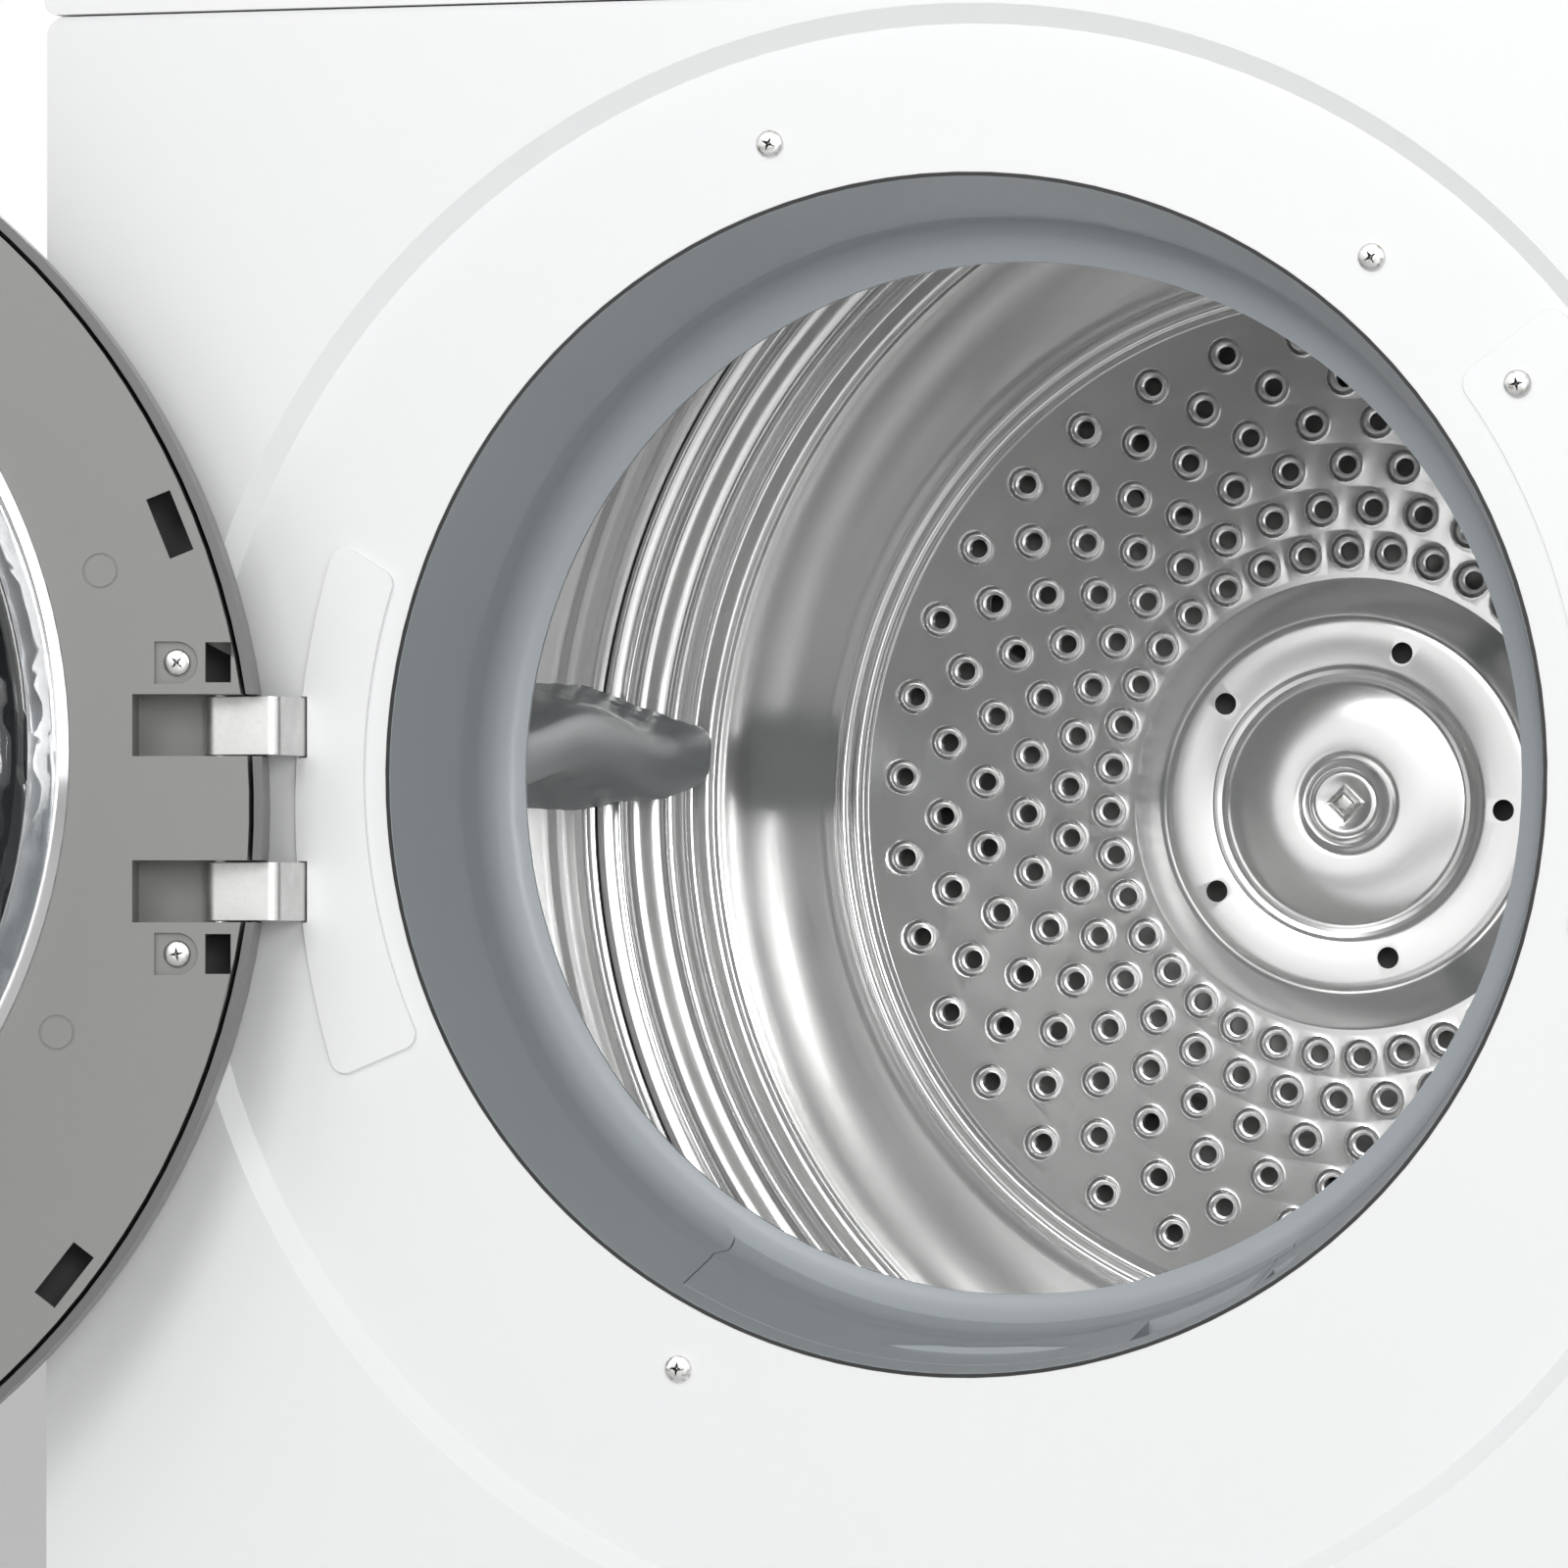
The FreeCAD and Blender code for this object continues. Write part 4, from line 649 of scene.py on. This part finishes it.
class DRYER_OT_drum_back(bpy.types.Operator):
    """Pressed end of the drum: rolls, smooth annulus, rolled flange and dimpled disc"""

    bl_idname = "dryer.drum_back"
    bl_label = "Drum back"

    def execute(self, context):
        size = sizes()
        step = 360.0 / size.dimples_per_ring
        half = size.ring_pitch / 2
        rows = []
        for ring in range(size.rings):
            cell = dimple_cell(size.first_ring + ring * size.ring_pitch, half, step)
            turn_about_drum(cell, -(FIRST_RING_TURN + ring % 2 * step / 2))
            around(cell, size.dimples_per_ring, (0, 0, DRUM_Z))
            rows.append(cell)
        disc_out = (size.first_ring + size.rings * size.ring_pitch - half) / MM
        disc_in = (size.first_ring - half) / MM
        steps = 4 * size.dimples_per_ring
        inner = self.flat("inner", (disc_in, 81.5, 76.0), steps)
        edge = self.flat("edge", (disc_out, 184.0), steps)
        for ring in (inner, edge):
            turn_about_drum(ring, -FIRST_RING_TURN)
        disc = join([edge, inner] + rows, "drum_back_disc")
        edit(disc)
        bpy.ops.mesh.remove_doubles(threshold=2e-5)
        bpy.ops.mesh.normals_make_consistent(inside=False)
        bpy.ops.object.mode_set(mode="OBJECT")
        face_front(disc)
        apply(disc, "SOLIDIFY", thickness=0.8 * MM, offset=-1.0)
        smooth(disc, 50, even=True)
        rim = lathe("drum_back_rim", (0, DRUM_Z), to_metres(self.rim_profile()), 360)
        face_front(rim)
        apply(rim, "SOLIDIFY", thickness=0.9 * MM, offset=-1.0)
        smooth(rim, 50)
        for piece in (disc, rim):
            dress(piece, "stainless")
            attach(piece, "drum")
        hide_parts("drum_back")
        return {"FINISHED"}

    def flat(self, name, radii, steps):
        """Flat ring of the disc through these radii."""
        return lathe(name, (0, DRUM_Z), to_metres([(r, DISC_DEPTH) for r in radii]), steps)

    def rim_profile(self):
        """Rolled flange, smooth annulus, bead and shoulder rolls as (radius, depth)."""
        rim = [(181.6, DISC_DEPTH), (182.4, 527.7), (183.2, 526.4), (184.4, 525.0), (186.0, 524.6),
               (187.4, 525.2), (188.4, 526.6), (189.2, 527.0), (190.0, 526.2), (191.2, 525.7), (192.4, 526.2),
               (193.4, 528.2), (194.2, 530.2), (196.0, 531.4), (202.0, 533.3), (220.0, 538.4), (243.0, 544.8)]
        raised(rim, (244.5, 545.2), (250.6, 538.8), -2.6, 10)
        rim += [(251.8, 538.9), (253.4, 538.4), (254.8, 536.4)]
        raised(rim, (255.6, 534.4), (268.6, 519.6), -5.4, 16)
        rim += [(269.8, 518.9), (270.8, 517.4)]
        raised(rim, (271.4, 516.6), (274.6, 512.9), -1.9, 8)
        rim += [(275.8, 512.4), (277.8, 511.9), (278.9, 510.9), (279.6, 510.2)]
        return rim


def face_front(piece):
    """Turn an open sheet so that its faces look out of the drum."""
    total = sum(face.normal.y * face.area for face in piece.data.polygons)
    if total > 0:
        edit(piece)
        bpy.ops.mesh.flip_normals()
        bpy.ops.object.mode_set(mode="OBJECT")


HUB_BOLTS = 5
HUB_BOLT_R = 57.4 * MM
HUB_BOLT_HOLE_R = 3.9 * MM
FIRST_HUB_BOLT = 69.2


class DRYER_OT_drum_hub(bpy.types.Operator):
    """Raised hub plate with a groove, a boss and bolt holes"""

    bl_idname = "dryer.drum_hub"
    bl_label = "Drum hub"

    def execute(self, context):
        profile = [(81.3, 527.4), (80.2, 526.6), (79.0, 525.4), (69.6, 518.4), (68.4, 517.4), (66.4, 516.9),
                   (64.0, 516.9), (51.0, 516.9), (49.6, 517.2), (48.2, 518.6), (46.6, 518.9), (45.2, 518.3),
                   (44.0, 516.5), (42.6, 516.0), (20.0, 515.8), (17.6, 516.0), (16.4, 516.8), (15.2, 517.0),
                   (14.0, 516.2), (12.6, 513.6), (11.2, 512.9), (9.6, 512.9), (8.6, 513.3), (0.6, 513.3)]
        piece = lathe("drum_hub_plate", (0, DRUM_Z), to_metres(profile), 192)
        edit(piece)
        bpy.ops.mesh.select_all(action="DESELECT")
        bpy.ops.mesh.select_mode(type="EDGE")
        bpy.ops.object.mode_set(mode="OBJECT")
        for edge in piece.data.edges:
            ends = [piece.data.vertices[i].co for i in edge.vertices]
            edge.select = all(math.hypot(p.x, p.z - DRUM_Z) < 0.7 * MM for p in ends)
        bpy.ops.object.mode_set(mode="EDIT")
        bpy.ops.mesh.edge_face_add()
        bpy.ops.object.mode_set(mode="OBJECT")
        face_front(piece)
        apply(piece, "SOLIDIFY", thickness=1.2 * MM, offset=-1.0)
        cutters = []
        for i in range(HUB_BOLTS):
            angle = math.radians(FIRST_HUB_BOLT + 360 / HUB_BOLTS * i)
            x, z = HUB_BOLT_R * math.cos(angle), HUB_BOLT_R * math.sin(angle)
            clear()
            bpy.ops.mesh.primitive_cylinder_add(
                vertices=32, radius=HUB_BOLT_HOLE_R, depth=12 * MM, rotation=(math.pi / 2, 0, 0),
                location=(x, OPENING_Y + 517 * MM, DRUM_Z + z))
            cutters.append(bpy.context.object)
        cut(piece, cutters)
        smooth(piece, 30)
        dress(piece, "stainless")
        bolt = self.square_bolt()
        shaft = lathe("drum_shaft", (0, DRUM_Z), to_metres([
            (10.0, 530.0), (10.0, 574.0), (9.0, 575.0), (0.4, 575.0), (0.4, 530.0)]), 48, close=True)
        smooth(shaft, 30)
        dress(shaft, "zinc_screw")
        for part in (piece, bolt, shaft):
            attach(part, "drum")
        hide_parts("drum_hub")
        return {"FINISHED"}

    def square_bolt(self):
        """Square bolt head in the middle of the boss, standing on a corner."""
        clear()
        bpy.ops.mesh.primitive_cube_add(size=1, location=(0, OPENING_Y + 512.6 * MM, DRUM_Z))
        bolt = bpy.context.object
        bolt.name = "hub_square_bolt"
        bolt.scale = (9.4 * MM, 2.2 * MM, 9.4 * MM)
        bolt.rotation_euler = (0, math.radians(45), 0)
        bpy.ops.object.transform_apply(location=True, rotation=True, scale=True)
        edit(bolt)
        bpy.ops.mesh.select_all(action="DESELECT")
        bpy.ops.object.mode_set(mode="OBJECT")
        for face in bolt.data.polygons:
            face.select = face.normal.y < -0.9
        bpy.ops.object.mode_set(mode="EDIT")
        bpy.ops.mesh.select_mode(type="FACE")
        bpy.ops.mesh.inset(thickness=1.5 * MM, depth=-0.9 * MM)
        bpy.ops.mesh.inset(thickness=0.9 * MM, depth=0.6 * MM)
        bpy.ops.object.mode_set(mode="OBJECT")
        apply(bolt, "BEVEL", width=0.25 * MM, segments=2)
        smooth(bolt, 30)
        dress(bolt, "zinc_screw")
        return bolt


LIFTERS = 3
FIRST_LIFTER = 175.7
LIFTER_START = 150.0
LIFTER_LENGTH = 369.0
LIFTER_STATIONS = 88
LIFTER_FOOT_R = 279.5
LIFTER_TOE = 498.0
NOSE_END = 519.6
NOSE_LENGTH = 34.0
WAVE_SWAY = 5.0
WAVES = 1.9
WAVE_RUN = 350.0
RIB_HEIGHT = 0.8
RIB_PITCH = 26.0


class DRYER_OT_lifters(bpy.types.Operator):
    """Three moulded lifters with a waved crest"""

    bl_idname = "dryer.lifters"
    bl_label = "Lifters"

    def execute(self, context):
        pieces = []
        for i in range(LIFTERS):
            pieces.append(self.lifter(i))
        for piece in pieces:
            dress(piece, "grey_plastic")
            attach(piece, "drum")
        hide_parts("drum_lifters")
        return {"FINISHED"}

    def lifter(self, number):
        """Section drawn across the crest, carried along the drum and closed with a rounded nose."""
        tall = sizes().lifter_height / MM
        clear()
        section = self.section(tall)
        bpy.ops.mesh.primitive_circle_add(
            vertices=len(section), radius=1.0, fill_type="NGON", rotation=(math.pi / 2, 0, 0))
        piece = bpy.context.object
        piece.name = "drum_lifter_%d" % (number + 1)
        bpy.ops.object.transform_apply(location=True, rotation=True, scale=True)
        start = OPENING_Y + LIFTER_START * MM
        for vertex, (reach, side) in zip(piece.data.vertices, section):
            vertex.co = Vector((reach * MM, start, DRUM_Z + side * MM))
        edit(piece)
        bpy.ops.mesh.select_mode(type="FACE")
        for station in range(LIFTER_STATIONS):
            bpy.ops.mesh.extrude_region_move(
                TRANSFORM_OT_translate={"value": (0, LIFTER_LENGTH * MM / LIFTER_STATIONS, 0)})
        bpy.ops.object.mode_set(mode="OBJECT")
        for vertex in piece.data.vertices:
            vertex.co = self.waved(vertex.co, tall)
        edit(piece)
        bpy.ops.mesh.normals_make_consistent(inside=False)
        bpy.ops.object.mode_set(mode="OBJECT")
        smooth(piece, 42)
        turn_about_drum(piece, -(FIRST_LIFTER + 360.0 / LIFTERS * number))
        return piece

    def section(self, tall):
        """(radius, across) points of the section at full height."""
        top = SHELL_R - tall
        half = [(279.4, -22.8), (276.0, -21.6), (270.0, -19.6), (262.0, -17.2), (254.0, -15.0),
                (247.0, -13.4), (241.5, -12.4), (238.0, -11.6), (235.8, -10.0), (top + 0.4, -7.6),
                (top - 0.1, -2.8)]
        foot = [(279.7, 18.0), (279.9, 10.0), (280.0, 3.0), (280.0, -3.0), (279.9, -10.0), (279.7, -18.0)]
        return half + [(r, -side) for r, side in reversed(half)] + foot

    def waved(self, spot, tall):
        """Sway of the crest along the drum, slanting ribs on the flanks and the rounded nose."""
        depth = (spot.y - OPENING_Y) / MM
        across = (spot.z - DRUM_Z) / MM
        share = max(0.0, min(1.0, (279.5 - spot.x / MM) / tall))
        run = (depth - LIFTER_START) / WAVE_RUN
        fade = share * min(1.0, (519.5 - depth) / 60.0)
        sway = WAVE_SWAY * math.cos(2 * math.pi * (run - 0.86) * WAVES) * fade
        front = min(1.0, (depth - LIFTER_START + 1.0) / 18.0)
        back = min(1.0, (NOSE_END - depth) / NOSE_LENGTH)
        round_off = math.sqrt(1.0 - (1.0 - back) ** 2) * math.sqrt(1.0 - (1.0 - front) ** 2)
        foot = LIFTER_FOOT_R - max(0.0, depth - LIFTER_TOE) * 1.08
        crest = SHELL_R - tall
        top = crest + 16.0 * (1.0 - math.sqrt(1.0 - (1.0 - back) ** 3)) + 10.0 * (1.0 - front)
        whole = (279.9 - spot.x / MM) / (279.9 - crest)
        reach = foot - (foot - top) * whole
        flank = 1.0 if 0.12 < share < 0.82 else 0.0
        slant = depth + 1.3 * (SHELL_R - spot.x / MM)
        rib = RIB_HEIGHT * flank * max(0.0, math.sin(slant * 2 * math.pi / RIB_PITCH)) ** 3
        side = across * (0.06 + 0.94 * round_off)
        side += math.copysign(rib * round_off, across) if abs(across) > 1 else 0.0
        return Vector((reach * MM, spot.y, DRUM_Z + (side + sway) * MM))


# ---- shaped copies of the designed parts ----

# Radius of the softened edges of each part, in millimetres; 0 leaves them as designed.
SOFT_EDGES = {
    "front_panel": 0.8, "left_side_panel": 0.3, "right_side_panel": 0.3, "rear_panel": 0.3,
    "control_fascia": 0.8, "plinth_panel": 0.8, "service_flap": 0.6, "door_collar": 0.6, "lint_filter": 0.6,
    "hinge_cover_plate": 0.9, "latch_cover_plate": 0.9, "hinge_bracket": 0.35, "door_inner_frame": 0.5,
    "door_outer_ring": 0.5, "door_window": 0.8, "door_trim_ring": 0.3, "condensate_container": 0.8,
    "latch_hook": 0.4, "base_tray": 0.6, "display_window": 0.3, "mains_gland": 0.6,
    "opening_gasket": 0, "door_glass_bowl": 0, "worktop": 0, "hinge_pins": 0,
}


class DRYER_OT_softened_parts(bpy.types.Operator):
    """Copies of the visible designed parts with their edges softened"""

    bl_idname = "dryer.softened_parts"
    bl_label = "Softened parts"

    def execute(self, context):
        for node, radius in SOFT_EDGES.items():
            piece = finished(node, radius * MM)
            dress(piece, node_slot(node))
        return {"FINISHED"}


# ---- screws ----

RECESS_TOP = 3.1 * MM
RECESS_FOOT = 0.9 * MM
RECESS_THIN = 0.24
FRONT = Vector((0, -1, 0))
DOOR_SWING = math.radians(165)
DOOR_FACING = Vector((math.sin(DOOR_SWING), math.cos(DOOR_SWING), 0))


def islands(node):
    """Vertices of each separate solid of a designed part."""
    mesh = frame["nodes"][node].data
    leader = list(range(len(mesh.vertices)))
    spots = {}
    for vertex in mesh.vertices:
        key = tuple(round(c, 6) for c in vertex.co)
        leader[vertex.index] = spots.setdefault(key, vertex.index)

    def root(i):
        while leader[i] != i:
            leader[i] = leader[leader[i]]
            i = leader[i]
        return i

    for edge in mesh.edges:
        a, b = root(edge.vertices[0]), root(edge.vertices[1])
        leader[max(a, b)] = min(a, b)
    groups = {}
    for vertex in mesh.vertices:
        groups.setdefault(root(vertex.index), []).append(vertex.co.copy())
    return list(groups.values())


def head_top(points, facing):
    """Middle of the outermost face of a screw head."""
    reach = max(p.dot(facing) for p in points)
    top = [p for p in points if p.dot(facing) > reach - 2e-5]
    low = Vector([min(p[i] for p in top) for i in range(3)])
    high = Vector([max(p[i] for p in top) for i in range(3)])
    return (low + high) / 2


class DRYER_OT_screws(bpy.types.Operator):
    """Cross-recessed screw heads, modelled once and copied"""

    bl_idname = "dryer.screws"
    bl_label = "Screws"

    def execute(self, context):
        master = self.head()
        for node, facing in (("panel_screws", FRONT), ("door_screws", DOOR_FACING)):
            heads = []
            for number, points in enumerate(islands(node)):
                spot = head_top(points, facing)
                pick(master)
                bpy.ops.object.duplicate()
                copy = bpy.context.object
                turn = math.atan2(facing.x, -facing.y)
                tightened = Matrix.Rotation(math.radians(23 + 37 * number), 4, "Y")
                copy.matrix_world = Matrix.Translation(spot) @ Matrix.Rotation(turn, 4, "Z") @ tightened
                bpy.ops.object.transform_apply(location=True, rotation=True, scale=True)
                heads.append(copy)
            piece = join(heads, node + "_heads")
            dress(piece, "zinc_screw")
            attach(piece, body_of(node))
            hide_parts(node)
        bpy.data.objects.remove(master)
        return {"FINISHED"}

    def head(self):
        """Domed head with a tapered cross recess, its top at the origin, facing the front."""
        profile = [(0.4, -0.02), (1.6, 0.02), (2.9, 0.22), (3.7, 0.60), (4.15, 1.1), (4.3, 1.6), (4.3, 2.35),
                   (4.0, 2.5), (2.0, 2.5), (2.0, 9.0), (0.4, 9.0)]
        head = lathe("head", (0, 0), [(r * MM, y * MM) for r, y in profile], 48, close=True)
        edit(head)
        bpy.ops.mesh.fill_holes(sides=0)
        bpy.ops.object.mode_set(mode="OBJECT")
        cutters = []
        for quarter in range(2):
            clear()
            bpy.ops.mesh.primitive_cone_add(
                vertices=4, radius1=RECESS_TOP, radius2=RECESS_FOOT, depth=3.6 * MM,
                location=(0, 0.9 * MM, 0), rotation=(-math.pi / 2, 0, 0))
            blade = bpy.context.object
            bpy.ops.object.transform_apply(location=True, rotation=True, scale=True)
            edit(blade)
            bpy.ops.transform.resize(value=(1, 1, RECESS_THIN), center_override=(0, 0, 0))
            bpy.ops.object.mode_set(mode="OBJECT")
            blade.rotation_euler = (0, math.pi / 2 * quarter, 0)
            bpy.ops.object.transform_apply(location=True, rotation=True, scale=True)
            cutters.append(blade)
        cut(head, cutters)
        smooth(head, 35)
        return head


# ---- stage ----

CAMERA_SPOT = Vector((0.85823, OPENING_Y - 3.05385, OPENING_Z - 0.05417))
CAMERA_TILT = 0.016138
CAMERA_ROLL = 0.0005
CAMERA_TURN = 0.29083
CAMERA_LENS = 234.93


class DRYER_OT_stage(bpy.types.Operator):
    """Pale floor, soft lights and the camera"""

    bl_idname = "dryer.stage"
    bl_label = "Stage"

    def execute(self, context):
        clear()
        bpy.ops.mesh.primitive_plane_add(size=30, location=(0, 0, 0))
        floor = bpy.context.object
        floor.name = "floor"
        shader("pale_floor", Roughness=0.7, Base_Color=(0.85, 0.85, 0.85, 1))
        floor.data.materials.append(bpy.data.materials["pale_floor"])
        self.surroundings(context)
        self.softbox("key", (-2.4, -3.4, 3.0), (0, -0.3, 0.5), (2.0, 2.0), 19)
        self.softbox("fill", (3.0, -3.6, 1.8), (0, -0.3, 0.5), (1.6, 2.2), 11)
        self.softbox("front", (-0.25, -3.1, 1.55), (0.0, 0.2, 0.46), (1.1, 0.8), 21)
        self.softbox("inner", (1.15, -3.2, 0.85), (-0.1, 0.2, 0.46), (0.8, 0.8), 24)
        self.softbox("high", (0.3, -2.6, 2.9), (0.0, 0.1, 0.45), (1.2, 0.8), 7)
        self.camera(context)
        context.scene.view_settings.view_transform = "Standard"
        return {"FINISHED"}

    def surroundings(self, context):
        """White backdrop that lights the object less than it shows."""
        world = bpy.data.worlds.new("Studio")
        context.scene.world = world
        world.use_nodes = True
        world.cycles.sampling_method = "NONE"
        tree = world.node_tree
        backdrop = tree.nodes["Background"]
        backdrop.inputs["Color"].default_value = (1, 1, 1, 1)
        path = tree.nodes.new("ShaderNodeLightPath")
        coords = tree.nodes.new("ShaderNodeTexCoord")
        split = tree.nodes.new("ShaderNodeSeparateXYZ")
        tree.links.new(coords.outputs["Generated"], split.inputs[0])
        level = ramp(tree, split.outputs["Y"], -1.0, -0.3, 1.3, 1.7)
        for kind, strength in (("Is Diffuse Ray", 0.34), ("Is Camera Ray", 1.0)):
            level = self.choose(tree, path.outputs[kind], level, strength)
        tree.links.new(level, backdrop.inputs["Strength"])

    def choose(self, tree, factor, otherwise, value):
        node = tree.nodes.new("ShaderNodeMix")
        tree.links.new(factor, node.inputs["Factor"])
        tree.links.new(otherwise, node.inputs["A"])
        node.inputs["B"].default_value = value
        return node.outputs["Result"]

    def softbox(self, name, spot, aim, size, power):
        bpy.ops.object.light_add(type="AREA", location=spot)
        lamp = bpy.context.object
        lamp.name = name
        lamp.data.shape = "RECTANGLE"
        lamp.data.size, lamp.data.size_y = size
        lamp.data.energy = power
        lamp.rotation_euler = (Vector(aim) - Vector(spot)).to_track_quat("-Z", "Y").to_euler()

    def camera(self, context):
        bpy.ops.object.camera_add(
            location=CAMERA_SPOT, rotation=(math.pi / 2 + CAMERA_TILT, CAMERA_ROLL, CAMERA_TURN))
        camera = bpy.context.object
        camera.data.lens = CAMERA_LENS
        camera.data.sensor_width = 36.0
        camera.data.clip_end = 100.0
        context.scene.camera = camera


class DRYER_PT_panel(bpy.types.Panel):
    """Lists the steps that finish the dryer"""

    bl_label = "Tumble dryer"
    bl_idname = "DRYER_PT_panel"
    bl_space_type = "VIEW_3D"
    bl_region_type = "UI"
    bl_category = "Dryer"

    def draw(self, context):
        for step in STEPS:
            self.layout.operator(step.bl_idname)
        for settings in (context.scene.dryer_sizes, context.scene.dryer_colours):
            for key in settings.__annotations__:
                self.layout.prop(settings, key)


STEPS = (
    DRYER_OT_finishes,
    DRYER_OT_softened_parts,
    DRYER_OT_drum_shell,
    DRYER_OT_drum_back,
    DRYER_OT_drum_hub,
    DRYER_OT_lifters,
    DRYER_OT_screws,
    DRYER_OT_stage,
)
CLASSES = (DryerSizes, DryerColours) + STEPS + (DRYER_PT_panel,)


def register():
    for item in CLASSES:
        bpy.utils.register_class(item)
    bpy.types.Scene.dryer_sizes = bpy.props.PointerProperty(type=DryerSizes)
    bpy.types.Scene.dryer_colours = bpy.props.PointerProperty(type=DryerColours)


def unregister():
    del bpy.types.Scene.dryer_sizes
    del bpy.types.Scene.dryer_colours
    for item in reversed(CLASSES):
        bpy.utils.unregister_class(item)


def main():
    register()
    bpy.ops.dryer.finishes()
    bpy.ops.dryer.softened_parts()
    bpy.ops.dryer.drum_shell()
    bpy.ops.dryer.drum_back()
    bpy.ops.dryer.drum_hub()
    bpy.ops.dryer.lifters()
    bpy.ops.dryer.screws()
    bpy.ops.dryer.stage()


if __name__ == "__main__":
    main()
